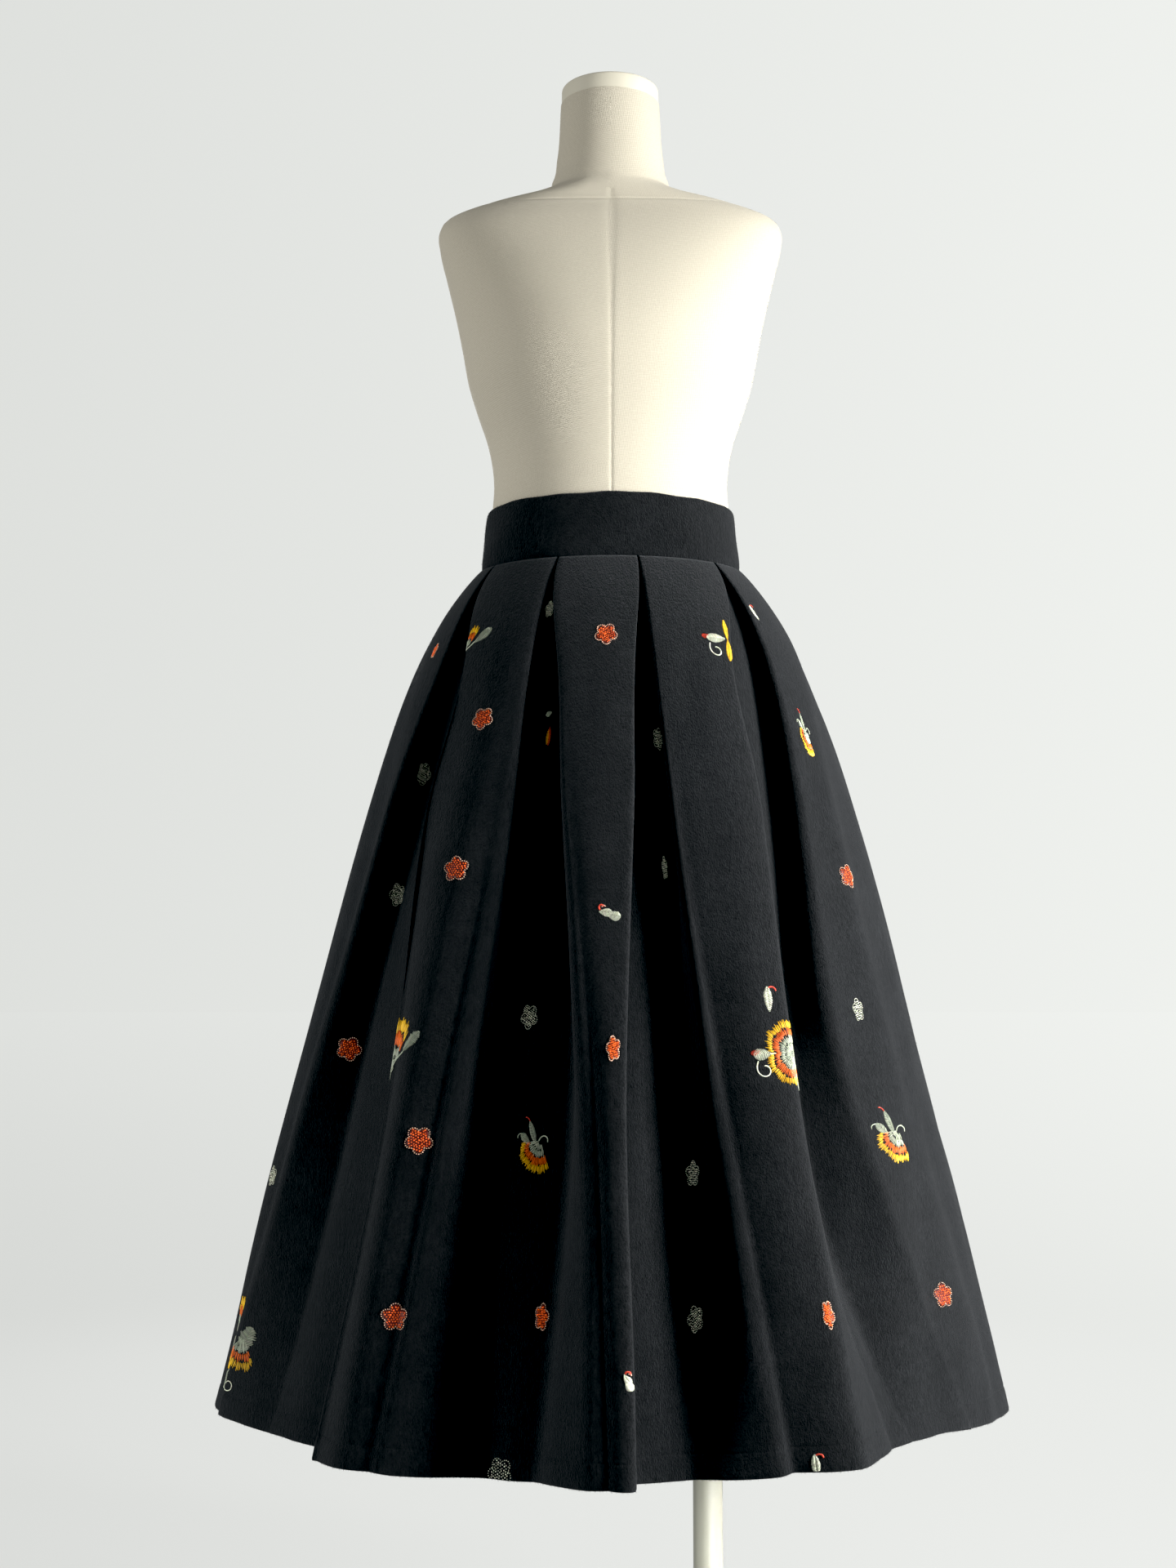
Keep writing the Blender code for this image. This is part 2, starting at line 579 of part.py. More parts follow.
# The closed zip as a narrow strip between the cloth edges, from the band's top edge down
# into the centre back pleat, whose floor it follows.
def add_zip_coil(collection):
    back_top = float(band_top(math.pi))
    rows = []
    for height in (back_top - ZIP_TOP_BELOW_EDGE, SEAM_HEIGHT):
        inside = waist_oval(height)[1] + FORM_GAP
        rows.append((height, inside, inside + BAND_CLOTH))
    drops = [drop for drop in ROW_DROPS if drop < ZIP_END_DROP]
    floors = [floor_middle(len(PLEATS), drop) for drop in drops]
    places = [place_on_oval(*panel_oval(drop), along, out) for drop, (along, out, _) in zip(drops, floors)]
    middles = [np.hypot(*place) for place in places]
    panels = [np.hypot(*place_on_oval(*panel_oval(drop), floor[0], 0.0)) for drop, floor in zip(drops, floors)]
    for height, middle in zip(cloth_heights(drops, middles, panels), middles):
        rows.append((float(height), middle - CLOTH / 2, middle + CLOTH / 2))
    points = []
    for height, inside, outside in rows:
        for x, y in ((-1, inside), (1, inside), (1, outside), (-1, outside)):
            points.append((x * ZIP_HALF_WIDTH, float(y), height))
    faces = [(0, 1, 2, 3)]
    for r in range(len(rows) - 1):
        for k in range(4):
            a, b = 4 * r + k, 4 * r + (k + 1) % 4
            faces.append((a, a + 4, b + 4, b))
    end = 4 * (len(rows) - 1)
    faces.append((end + 3, end + 2, end + 1, end))
    mesh = bpy.data.meshes.new("zip_coil")
    mesh.from_pydata(points, [], faces)
    mesh.validate()
    new_object("zip_coil", mesh, "zip_black", collection)


# A flat outline, filled and given a thickness. It is drawn in the curve's own XY plane,
# with holes as further outlines, and comes back as a welded mesh.
def flat_piece_mesh(name, outlines, thickness):
    curve = bpy.data.curves.new(name, "CURVE")
    curve.dimensions = "2D"
    curve.fill_mode = "BOTH"
    curve.extrude = thickness / 2
    for outline in outlines:
        spline = curve.splines.new("POLY")
        spline.points.add(len(outline) - 1)
        for point, (x, y) in zip(spline.points, outline):
            point.co = (x, y, 0.0, 1.0)
        spline.use_cyclic_u = True
    source = bpy.data.objects.new(name, curve)
    bpy.context.scene.collection.objects.link(source)
    evaluated = source.evaluated_get(bpy.context.evaluated_depsgraph_get())
    mesh = bpy.data.meshes.new_from_object(evaluated)
    bpy.data.objects.remove(source)
    bpy.data.curves.remove(curve)
    shape = bmesh.new()
    shape.from_mesh(mesh)
    bmesh.ops.remove_doubles(shape, verts=shape.verts, dist=0.000001)
    bmesh.ops.recalc_face_normals(shape, faces=shape.faces)
    shape.to_mesh(mesh)
    shape.free()
    return mesh


# Where the pull turns: its height and its distance behind the middle of the waist.
def pull_hinge():
    height = float(band_top(math.pi)) - SLIDER_BELOW_EDGE
    face = waist_oval(height - SLIDER_HEIGHT / 2)[1] + FORM_GAP + BAND_CLOTH + SEAM_GAP + SLIDER_DEPTH
    return height, face


# The slider: a small block on the coil, with a bridge in the YZ plane that the pull hangs from.
def add_zip_slider(collection, cutters):
    height, face = pull_hinge()
    bpy.ops.mesh.primitive_cube_add(size=1.0)
    slider = bpy.context.object
    slider.name = "zip_slider"
    for old in list(slider.users_collection):
        old.objects.unlink(slider)
    collection.objects.link(slider)
    slider.data.materials.append(new_material("zip_slider_finish", "zip_black"))
    for vertex in slider.data.vertices:
        vertex.co.x *= SLIDER_WIDTH
        vertex.co.y *= SLIDER_DEPTH
        vertex.co.z *= SLIDER_HEIGHT
    slider.location = (0.0, face - SLIDER_DEPTH / 2, height)
    rounding = slider.modifiers.new("Rounding", "BEVEL")
    rounding.width = SLIDER_ROUNDING
    rounding.segments = 1
    slot_top = PULL_STANDOFF * 2 - BRIDGE_SLOT_START
    bar_top = slot_top + BRIDGE_BAR
    bar_end = BRIDGE_REACH - BRIDGE_SLANT
    side_top = bar_top - BRIDGE_SLANT
    outside = [(-BRIDGE_REACH, -BRIDGE_SUNK), (BRIDGE_REACH, -BRIDGE_SUNK), (BRIDGE_REACH, side_top),
               (bar_end, bar_top), (-bar_end, bar_top), (-BRIDGE_REACH, side_top)]
    slot_end = BRIDGE_REACH - BRIDGE_BAR
    inside = [(-slot_end, BRIDGE_SLOT_START), (slot_end, BRIDGE_SLOT_START),
              (slot_end, slot_top), (-slot_end, slot_top)]
    mesh = flat_piece_mesh("bridge", [outside, inside], BRIDGE_WIDTH)
    bridge = bpy.data.objects.new("bridge", mesh)
    bridge.rotation_euler = (0.0, -math.pi / 2, 0.0)
    bridge.location = (0.0, face, height)
    cutters.objects.link(bridge)
    bridge.hide_render = True
    bridge.display_type = "WIRE"
    join = slider.modifiers.new("Bridge", "BOOLEAN")
    join.operation = "UNION"
    join.solver = "EXACT"
    join.object = bridge


# The pull: a flat drop with a slot at its top, whose bar lies in the slider's bridge. Its
# origin is on the hinge axis, and it hangs straight down.
def add_zip_pull(collection):
    height, face = pull_hinge()
    top = PULL_BAR / 2
    half_top = PULL_TOP_WIDTH / 2
    end_centre = PULL_END_RADIUS - PULL_LENGTH
    outline = [(half_top, top)]
    outline += [(half_top, -PULL_SLOT_LENGTH - PULL_BAR * 1.5)]
    for degrees in np.linspace(*PULL_END_ARC, PULL_END_POINTS):
        turn = math.radians(degrees)
        outline.append((PULL_END_RADIUS * math.cos(turn), end_centre + PULL_END_RADIUS * math.sin(turn)))
    outline += [(-half_top, -PULL_SLOT_LENGTH - PULL_BAR * 1.5), (-half_top, top)]
    half_slot = PULL_SLOT_WIDTH / 2
    slot_end = -PULL_BAR / 2 - PULL_SLOT_LENGTH
    slot = [(half_slot, -PULL_BAR / 2), (-half_slot, -PULL_BAR / 2),
            (-half_slot, slot_end), (half_slot, slot_end)]
    mesh = flat_piece_mesh("zip_pull", [outline, slot], PULL_THICKNESS)
    pull = new_object("zip_pull", mesh, "zip_black", collection)
    pull.rotation_euler = (math.pi / 2, 0.0, 0.0)
    pull.location = (0.0, face + PULL_STANDOFF, height)


def build():
    for obj in list(bpy.data.objects):
        bpy.data.objects.remove(obj)
    skirt = bpy.data.collections.new("a_line_skirt_on_dress_form")
    cutters = bpy.data.collections.new("cutters")
    bpy.context.scene.collection.children.link(skirt)
    bpy.context.scene.collection.children.link(cutters)
    add_skirt(skirt)
    add_waistband(skirt)
    add_form(skirt)
    add_neck_cap(skirt)
    add_stand(skirt)
    add_zip_coil(skirt)
    add_zip_slider(skirt, cutters)
    add_zip_pull(skirt)


build()
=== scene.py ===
import math
import bpy
import numpy as np
from mathutils import Matrix, Vector
from mathutils.bvhtree import BVHTree


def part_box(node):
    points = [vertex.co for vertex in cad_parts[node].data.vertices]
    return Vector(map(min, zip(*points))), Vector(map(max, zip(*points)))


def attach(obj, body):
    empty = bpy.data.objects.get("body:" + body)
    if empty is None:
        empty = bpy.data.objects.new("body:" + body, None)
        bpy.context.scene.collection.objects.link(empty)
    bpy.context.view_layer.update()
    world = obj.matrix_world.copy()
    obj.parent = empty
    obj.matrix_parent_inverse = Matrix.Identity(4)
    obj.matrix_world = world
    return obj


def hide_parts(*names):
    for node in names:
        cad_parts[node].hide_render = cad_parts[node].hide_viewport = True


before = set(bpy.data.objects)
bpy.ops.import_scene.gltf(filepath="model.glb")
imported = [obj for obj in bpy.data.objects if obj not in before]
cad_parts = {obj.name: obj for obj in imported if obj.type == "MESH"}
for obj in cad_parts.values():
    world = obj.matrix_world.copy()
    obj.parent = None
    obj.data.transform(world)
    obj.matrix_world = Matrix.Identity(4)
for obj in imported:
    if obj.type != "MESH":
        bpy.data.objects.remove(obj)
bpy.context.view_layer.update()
garment = "skirt_and_form"                      # the body that everything but the zip pull rides on
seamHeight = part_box("waistband_front")[0].z     # seam between waistband and skirt

# The photograph's view: the image is taken as 1440 by 1920.
view = {"place": (-0.023, -2.12, 0.667), "pitch": 5.7, "lens": 48.47, "sensor": 36.0,
        "pixelsWide": 1440, "pixelsHigh": 1920}


# Meshes from whole arrays

# Quads of a grid: corner (r, c), then the one a row on, the one across, and the one beside.
def gridFaces(rows, columns, closeRows=False, closeColumns=False, start=0):
    r = np.arange(rows if closeRows else rows - 1)
    c = np.arange(columns if closeColumns else columns - 1)
    r, c = np.meshgrid(r, c, indexing="ij")
    below, beside = (r + 1) % rows, (c + 1) % columns
    quads = [r * columns + c, below * columns + c, below * columns + beside, r * columns + beside]
    return start + np.stack(quads, -1).reshape(-1, 4)


# A closed wall of two equal grids: outer faces, inner faces turned round, and the four rims.
def wallFaces(rows, columns):
    half = rows * columns
    outer = gridFaces(rows, columns)
    inner = gridFaces(rows, columns, start=half)[:, ::-1]
    top = np.arange(columns - 1)
    bottom = (rows - 1) * columns + top
    left = np.arange(rows - 1) * columns
    right = left + columns - 1
    rims = [
        np.stack([top, top + 1, half + top + 1, half + top], -1),
        np.stack([bottom, half + bottom, half + bottom + 1, bottom + 1], -1),
        np.stack([left, half + left, half + left + columns, left + columns], -1),
        np.stack([right, right + columns, half + right + columns, half + right], -1),
    ]
    return np.concatenate([outer, inner] + rims)


# One object at the origin from points and faces, with an optional map and thread colours.
def newPiece(name, points, faces, material, uv=None, colours=None, sharp=None):
    mesh = bpy.data.meshes.new(name)
    faces = faces if isinstance(faces, list) else faces.tolist()
    mesh.from_pydata(np.asarray(points).reshape(-1, 3).tolist(), [], faces)
    if uv is not None:
        corner = np.empty(len(mesh.loops), np.int32)
        mesh.loops.foreach_get("vertex_index", corner)
        layer = mesh.uv_layers.new(name="clothMap")
        layer.data.foreach_set("uv", np.asarray(uv, np.float32).reshape(-1, 2)[corner].ravel())
    if colours is not None:
        layer = mesh.color_attributes.new(name="thread", type="FLOAT_COLOR", domain="POINT")
        shades = np.column_stack([colours, np.ones(len(colours))]).astype(np.float32)
        layer.data.foreach_set("color", shades.ravel())
    mesh.shade_smooth()
    if sharp:
        mesh.set_sharp_from_angle(angle=math.radians(sharp))
    mesh.materials.append(material)
    piece = bpy.data.objects.new(name, mesh)
    bpy.context.scene.collection.objects.link(piece)
    return piece


# A finished piece rides with the garment and stands for a node.
def standFor(piece, node):
    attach(piece, garment)
    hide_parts(node)


# Faces of a closed tube: its sides and a cap at each end, all turned round where asked.
def tubeFaces(rows, columns, turnRound=False):
    faces = gridFaces(rows, columns, closeColumns=True).tolist()
    faces += [list(range(columns)), [rows * columns - 1 - c for c in range(columns)]]
    return [face[::-1] for face in faces] if turnRound else faces


# The faces of one small shape, repeated for a number of shapes of so many points each.
def repeatFaces(faces, count, each):
    faces = np.array(faces)
    return (np.arange(count)[:, None, None] * each + faces).reshape(-1, faces.shape[1])


# Vectors brought to length 1.
def unit(vectors):
    return vectors / np.linalg.norm(vectors, axis=-1, keepdims=True)


# Distance along a line from its start to each of its points.
def runningLength(line):
    return np.concatenate([[0], np.cumsum(np.linalg.norm(np.diff(line, axis=0), axis=1))])


# Points at given distances along a line.
def pointsAlong(line, at):
    length = runningLength(line)
    return np.column_stack([np.interp(at, length, values) for values in line.T])


# Values given at rising places, run through them as cubics with the slopes between.
def runThrough(places, values, at):
    places, values = np.asarray(places), np.asarray(values)
    slopes = np.gradient(values, places, axis=0)
    k = np.clip(np.searchsorted(places, at) - 1, 0, len(places) - 2)
    each = (-1,) + (1,) * (values.ndim - 1)
    span = (places[k + 1] - places[k]).reshape(each)
    u = (at - places[k]).reshape(each) / span
    return (values[k] * (2 * u**3 - 3 * u**2 + 1) + slopes[k] * span * (u**3 - 2 * u**2 + u) +
            values[k + 1] * (3 * u**2 - 2 * u**3) + slopes[k + 1] * span * (u**3 - u**2))


# 0 before the start, 1 after the end, and 3u^2 - 2u^3 between.
def smoothStep(value, start, end):
    u = np.clip((value - start) / (end - start), 0.0, 1.0)
    return u * u * (3 - 2 * u)


# Material helpers

# A material with its constants set on the shader's own sockets.
def newMaterial(name, colour, roughness, metallic=0.0, **sockets):
    material = bpy.data.materials.new(name)
    material.use_nodes = True
    shader = material.node_tree.nodes["Principled BSDF"]
    shader.inputs["Base Color"].default_value = (*colour, 1.0)
    shader.inputs["Roughness"].default_value = roughness
    shader.inputs["Metallic"].default_value = metallic
    for socket, value in sockets.items():
        shader.inputs[socket.replace("_", " ")].default_value = value
    return material, material.node_tree, shader


# A node with its settings. Each input is a value, or another node's output to link.
def addNode(tree, kind, inputs=None, **settings):
    node = tree.nodes.new(kind)
    for name, value in settings.items():
        setattr(node, name, value)
    for name, given in (inputs or {}).items():
        if isinstance(given, bpy.types.NodeSocket):
            tree.links.new(given, node.inputs[name])
        else:
            node.inputs[name].default_value = given
    return node


# One sum: its inputs are values or outputs to link.
def calculate(tree, operation, *inputs, kind="ShaderNodeMath"):
    return addNode(tree, kind, dict(enumerate(inputs)), operation=operation).outputs[0]


# A value moved from one range to another.
def mapRange(tree, value, low, high, toLow=0.0, toHigh=1.0):
    return addNode(tree, "ShaderNodeMapRange", {"Value": value, "From Min": low, "From Max": high,
                                                "To Min": toLow, "To Max": toHigh}).outputs[0]


# Fractal noise at a place, and its outputs.
def addNoise(tree, where, scale, detail, rough):
    return addNode(tree, "ShaderNodeTexNoise", {"Vector": where, "Scale": scale, "Detail": detail,
                                                "Roughness": rough}).outputs


# A bump from a height, on the shader's normal.
def addBump(tree, shader, height, strength, distance):
    bump = addNode(tree, "ShaderNodeBump", {"Strength": strength, "Distance": distance, "Height": height})
    tree.links.new(bump.outputs["Normal"], shader.inputs["Normal"])


# A group with a Vector and other named inputs, which puts out Shade, for colours, and Height,
# for the bump.
def newGroup(name, **inputs):
    group = bpy.data.node_groups.new(name, "ShaderNodeTree")
    group.interface.new_socket("Vector", in_out="INPUT", socket_type="NodeSocketVector")
    for socket, value in inputs.items():
        kind = "NodeSocketFloat" if isinstance(value, float) else "NodeSocketVector"
        group.interface.new_socket(socket, in_out="INPUT", socket_type=kind).default_value = value
    for socket in ("Shade", "Height"):
        group.interface.new_socket(socket, in_out="OUTPUT", socket_type="NodeSocketFloat")
    return group, group.nodes.new("NodeGroupInput").outputs, group.nodes.new("NodeGroupOutput").inputs


# A group's two outputs, linked.
def endGroup(group, result, shade, height):
    group.links.new(shade, result["Shade"])
    group.links.new(height, result["Height"])
    return group


# A group in a material: its Shade mixes the colour from dark to light, its Height is the bump.
def addPattern(tree, shader, group, where, dark, light, strength, distance, **inputs):
    pattern = addNode(tree, "ShaderNodeGroup", node_tree=group)
    tree.links.new(where, pattern.inputs["Vector"])
    for name, value in inputs.items():
        pattern.inputs[name].default_value = value
    mix = addNode(tree, "ShaderNodeMix", {"A": (*dark, 1.0), "B": (*light, 1.0),
                                          "Factor": pattern.outputs["Shade"]}, data_type="RGBA")
    tree.links.new(mix.outputs["Result"], shader.inputs["Base Color"])
    addBump(tree, shader, pattern.outputs["Height"], strength, distance)


# Brushed nap: short streaks that lie downwards, gathered in clumps, over broad cloudy patches.
# Shade, which colours the wool, runs from 0, the hollows, to 1, the tips: painted shade and a painted
# highlight, times the patches' own uneven tone.
def makeNapGroup():
    group, given, result = newGroup("brushedNap", Streaks=900.0, Clumps=260.0, Patches=22.0)
    laid = addNode(group, "ShaderNodeMapping", {"Vector": given["Vector"],
                                                "Scale": (1.0, 0.42, 1.0)}).outputs[0]
    tips = mapRange(group, addNoise(group, laid, given["Streaks"], 3.0, 0.65)["Fac"], 0.34, 0.70)
    tufts = mapRange(group, addNoise(group, laid, given["Clumps"], 3.0, 0.6)["Fac"], 0.30, 0.72)
    patches = addNoise(group, given["Vector"], given["Patches"], 2.0, 0.5)["Fac"]
    both = calculate(group, "MULTIPLY_ADD", tips, 0.55, calculate(group, "MULTIPLY", tufts, 0.45))
    cloud = mapRange(group, patches, 0.3, 0.7, 0.75, 1.15)
    return endGroup(group, result, calculate(group, "MULTIPLY", both, cloud), both)


# dark and light: painted shade in the nap's hollows and a painted highlight on its tips
wool = {"dark": (0.0002, 0.0002, 0.0003), "light": (0.0150, 0.0157, 0.0168), "roughness": 0.95,
        "sheen": 0.178, "sheenRoughness": 0.45, "sheenTint": (0.75, 0.78, 0.82, 1.0),
        "bump": 0.0011, "strength": 0.9, "streaks": 900.0, "clumps": 260.0}
napGroup = makeNapGroup()


# Napped wool: painted shade makes the hollows between clumps near black, a painted highlight lightens their
# tips.
def makeWool(name):
    material, tree, shader = newMaterial(
        name, wool["light"], wool["roughness"], Sheen_Weight=wool["sheen"],
        Sheen_Roughness=wool["sheenRoughness"], Sheen_Tint=wool["sheenTint"], Specular_IOR_Level=0.15)
    where = addNode(tree, "ShaderNodeUVMap", uv_map="clothMap").outputs["UV"]
    addPattern(tree, shader, napGroup, where, wool["dark"], wool["light"], wool["strength"], wool["bump"],
               Streaks=wool["streaks"], Clumps=wool["clumps"])
    return material


# Embroidery thread: each stitch has its own colour, and a fine ply shows across it.
def makeThread():
    material, tree, shader = newMaterial("embroideryThread", (0.5, 0.4, 0.3), 0.46, Sheen_Weight=0.06,
                                         Sheen_Roughness=0.4, Specular_IOR_Level=0.30)
    colour = addNode(tree, "ShaderNodeVertexColor", layer_name="thread")
    tree.links.new(colour.outputs["Color"], shader.inputs["Base Color"])
    place = addNode(tree, "ShaderNodeTexCoord").outputs["Object"]
    addBump(tree, shader, addNoise(tree, place, 2600.0, 2.0, 0.6)["Fac"], 0.5, 0.0002)
    return material


# Fine grain: small specks in the surface over broad clouds of colour.
def makeGrainGroup():
    group, given, result = newGroup("fineGrain", Scale=900.0)
    specks = addNoise(group, given["Vector"], given["Scale"], 3.0, 0.6)["Fac"]
    clouds = addNoise(group, given["Vector"], 14.0, 3.0, 0.55)["Fac"]
    return endGroup(group, result, clouds, specks)


grainGroup = makeGrainGroup()


# A smooth finish: base colour between two shades and a faint grain in the surface.
def makeFinish(name, dark, light, roughness, metallic, grain, bumpSize, **sockets):
    material, tree, shader = newMaterial(name, light, roughness, metallic, **sockets)
    place = addNode(tree, "ShaderNodeTexCoord").outputs["Object"]
    addPattern(tree, shader, grainGroup, place, dark, light, 0.3, bumpSize, Scale=grain)
    return material


woolCloth = makeWool("nappedWool")
woolBand = makeWool("nappedWoolBand")
woolTufts = makeFinish("woolTufts", (0.007, 0.0072, 0.0076), (0.017, 0.0176, 0.0184), 0.95, 0.0, 900.0,
                       0.00002, Specular_IOR_Level=0.1, Sheen_Weight=0.1)
thread = makeThread()
print("materials made")


# Skirt cloth. It hangs in box panels between inverted pleats. A pleat has a left fold and a
# right fold, where the panels beside it end, and a floor behind them.
skirt = {
    "drop": 0.822, "cloth": 0.0018, "hemCloth": 0.0036,
    "seamGap": 0.00004, "zipHalfGap": 0.0014, "zipEndDrop": 0.170,
    "halfWidth": 0.1335, "halfDepth": 0.1015,
    "sideSwell": 0.0513, "sideReach": 0.077, "sideSlope": 0.248,
    "frontSwell": 0.0700, "frontReach": 0.090, "frontSlope": 0.266, "setBack": 0.009,
    "foldHalfGap": 0.0012, "waistOverlap": 0.030, "waistRadius": 0.0014, "waistDepth": 0.0056,
    "openingPower": 1.25, "floorRadius": 0.024, "sag": 0.35,
    "lift": 0.013, "liftPlace": 0.135, "liftReach": 0.06,   # the hem rides up to the right
    "rows": 82, "rowPower": 1.3, "stitchLine": 0.0208, "hemRounding": 0.0016,
    "stitchLength": 0.0055, "stitchDip": (0.0007, 0.0010), "seamTuck": (0.0005, 0.0020),
    "hemPuff": (0.0003, 0.004), "edgeRounding": 0.0006, "edgeWave": (0.0007, 41.0, 17.0, 1.3),
    "mapStretch": 1.035, "mapShift": 0.37,
    "arcPoints": (7, 9, 9, 7),           # floor, panel, panel, floor fold
    "pointsBefore": (5, 6, 17, 6),       # on the floor, a side, the panel and the next side
    "halfFloorPoints": 2,
}
levels = np.array([0.0, 0.09, 0.26, 0.48, skirt["drop"]])
# left fold: its place at the five levels, then its overlap, radius, set-in and the cut width
# of the pleat's side at the hem; right fold: the same. A place is a share of the way round,
# from the centre front to +X.
pleats = (
    ((-0.3966, -0.4000, -0.4060, -0.4120, -0.4180), (-0.034, 0.024, 0.000, 0.064),
     (-0.3966, -0.3870, -0.3790, -0.3740, -0.3680), (-0.030, 0.022, 0.000, 0.064)),
    ((-0.2865, -0.2920, -0.3020, -0.3120, -0.3220), (-0.030, 0.022, 0.000, 0.064),
     (-0.2865, -0.2790, -0.2720, -0.2680, -0.2660), (-0.036, 0.026, 0.002, 0.064)),
    ((-0.1765, -0.1600, -0.1750, -0.1950, -0.2120), (-0.048, 0.034, 0.004, 0.064),
     (-0.1765, -0.1370, -0.1330, -0.1205, -0.1265), (0.008, 0.007, 0.014, 0.064)),
    ((-0.0711, -0.0665, -0.0640, -0.0700, -0.0760), (-0.034, 0.038, 0.012, 0.064),
     (-0.0711, -0.0500, -0.0340, -0.0210, -0.0160), (-0.030, 0.032, 0.003, 0.064)),
    ((0.0345, 0.0200, 0.0114, 0.0052, 0.0065), (0.010, 0.004, 0.002, 0.064),
     (0.0345, 0.0308, 0.0325, 0.0400, 0.0520), (-0.036, 0.038, 0.014, 0.064)),
    ((0.1489, 0.1050, 0.0965, 0.0890, 0.0950), (-0.0380, 0.016, 0.004, 0.050),
     (0.1489, 0.1440, 0.1310, 0.1190, 0.1600), (-0.0485, 0.036, 0.024, 0.050)),
    ((0.2653, 0.2590, 0.2540, 0.2520, 0.2520), (-0.032, 0.024, 0.006, 0.064),
     (0.2653, 0.2760, 0.2880, 0.2990, 0.3100), (-0.030, 0.024, 0.000, 0.064)),
    ((0.3823, 0.3760, 0.3690, 0.3630, 0.3580), (-0.030, 0.022, 0.000, 0.064),
     (0.3823, 0.3880, 0.3950, 0.4020, 0.4090), (-0.034, 0.024, 0.000, 0.064)),
    ((0.5000, 0.4890, 0.4770, 0.4670, 0.4590), (-0.034, 0.024, 0.000, 0.064),
     (0.5000, 0.5110, 0.5230, 0.5330, 0.5410), (-0.034, 0.024, 0.000, 0.064)),
)
skirtPieces = (("skirtFront", "skirt_front", 2, 7), ("skirtBackLeft", "skirt_back_left", 0, 2),
               ("skirtBackRight", "skirt_back_right", 7, 9))


# The panels' oval at each drop: waist size + swell (1 - exp(-drop / reach)) + slope x drop.
def ovalAt(drop):
    side = skirt["sideSwell"] * (1 - np.exp(-drop / skirt["sideReach"])) + skirt["sideSlope"] * drop
    front = skirt["frontSwell"] * (1 - np.exp(-drop / skirt["frontReach"])) + skirt["frontSlope"] * drop
    return skirt["halfWidth"] + side, skirt["halfDepth"] + front, skirt["setBack"] * drop / skirt["drop"]


# Length round an oval: pi (a + b) (1 + 3h / (10 + root(4 - 3h))), h = ((a - b) / (a + b)) squared.
def ovalLength(halfWidth, halfDepth):
    h = ((halfWidth - halfDepth) / (halfWidth + halfDepth)) ** 2
    return math.pi * (halfWidth + halfDepth) * (1 + 3 * h / (10 + np.sqrt(4 - 3 * h)))


# Points of an oval from a distance along it and an offset out of it: the angle is looked up
# in the running length of the oval, and the offset goes along its outward normal.
def ovalPoints(oval, along, out):
    halfWidth, halfDepth, middleY = (np.reshape(value, (-1, 1)) for value in oval)
    angles = np.linspace(-1.5 * math.pi, 1.5 * math.pi, 2161)
    steps = np.hypot(np.diff(halfWidth * np.sin(angles)), np.diff(halfDepth * np.cos(angles)))
    lengths = np.concatenate([np.zeros((len(steps), 1)), np.cumsum(steps, 1)], 1)
    lengths -= lengths[:, 1080:1081]
    angle = np.array([np.interp(a, length, angles) for a, length in zip(along, lengths)])
    normalX, normalY = halfDepth * np.sin(angle), -halfWidth * np.cos(angle)
    size = np.hypot(normalX, normalY)
    x = halfWidth * np.sin(angle) + out * normalX / size
    y = middleY - halfDepth * np.cos(angle) + out * normalY / size
    return x, y


# The four folds of a pleat, each a circle that the cloth bends round at every drop: along,
# out, radius and side. Floor depth = root(side width squared - overlap squared).
def pleatFolds(number, drop):
    leftPlaces, leftHem, rightPlaces, rightHem = pleats[(number - 1) % len(pleats)]
    turns = -1.0 if number == 0 else 0.0
    around = ovalLength(*ovalAt(drop)[:2])
    down = drop / skirt["drop"]
    opening = down ** skirt["openingPower"]
    floorRadius = skirt["waistRadius"] + (skirt["floorRadius"] - skirt["waistRadius"]) * opening
    pairs = []
    for places, (lapAtHem, radiusAtHem, setInAtHem, sideAtHem), way in ((leftPlaces, leftHem, -1.0),
                                                                        (rightPlaces, rightHem, 1.0)):
        edge = (runThrough(levels, places, drop) + turns) * around + way * skirt["foldHalfGap"]
        side = skirt["waistOverlap"] + (sideAtHem - skirt["waistOverlap"]) * down
        lap = skirt["waistOverlap"] + (lapAtHem - skirt["waistOverlap"]) * opening
        radius = skirt["waistRadius"] + (radiusAtHem - skirt["waistRadius"]) * opening
        depth = np.maximum(np.sqrt(np.maximum(side**2 - lap**2, 0.0)), skirt["waistDepth"])
        setIn = setInAtHem * opening
        floorOut = floorRadius - depth - setIn
        pairs.append(((edge + way * radius, -radius - setIn, radius, 1.0),
                      (edge + way * (lap - floorRadius), floorOut, floorRadius, -1.0)))
    (leftPanel, leftFloor), (rightPanel, rightFloor) = pairs
    return [leftPanel, leftFloor, rightFloor, rightPanel]


# Heading of the line that touches two circles: direction between them - asin(lean / reach).
def headingBetween(first, second):
    alongStep, outStep = second[0] - first[0], second[1] - first[1]
    lean = (first[3] * first[2] - second[3] * second[2]) / np.hypot(alongStep, outStep)
    return np.arctan2(outStep, alongStep) - np.arcsin(np.clip(lean, -1.0, 1.0))


# Where the middle of a pleat's floor lies, halfway between the points where its line starts and ends.
def floorMiddle(number, drop):
    _, left, right, _ = pleatFolds(number, drop)
    heading = headingBetween(left, right)
    along = (left[0] + right[0] + (left[2] + right[2]) * np.sin(heading)) / 2
    out = (left[1] + right[1] - (left[2] + right[2]) * np.cos(heading)) / 2
    return along, out, heading


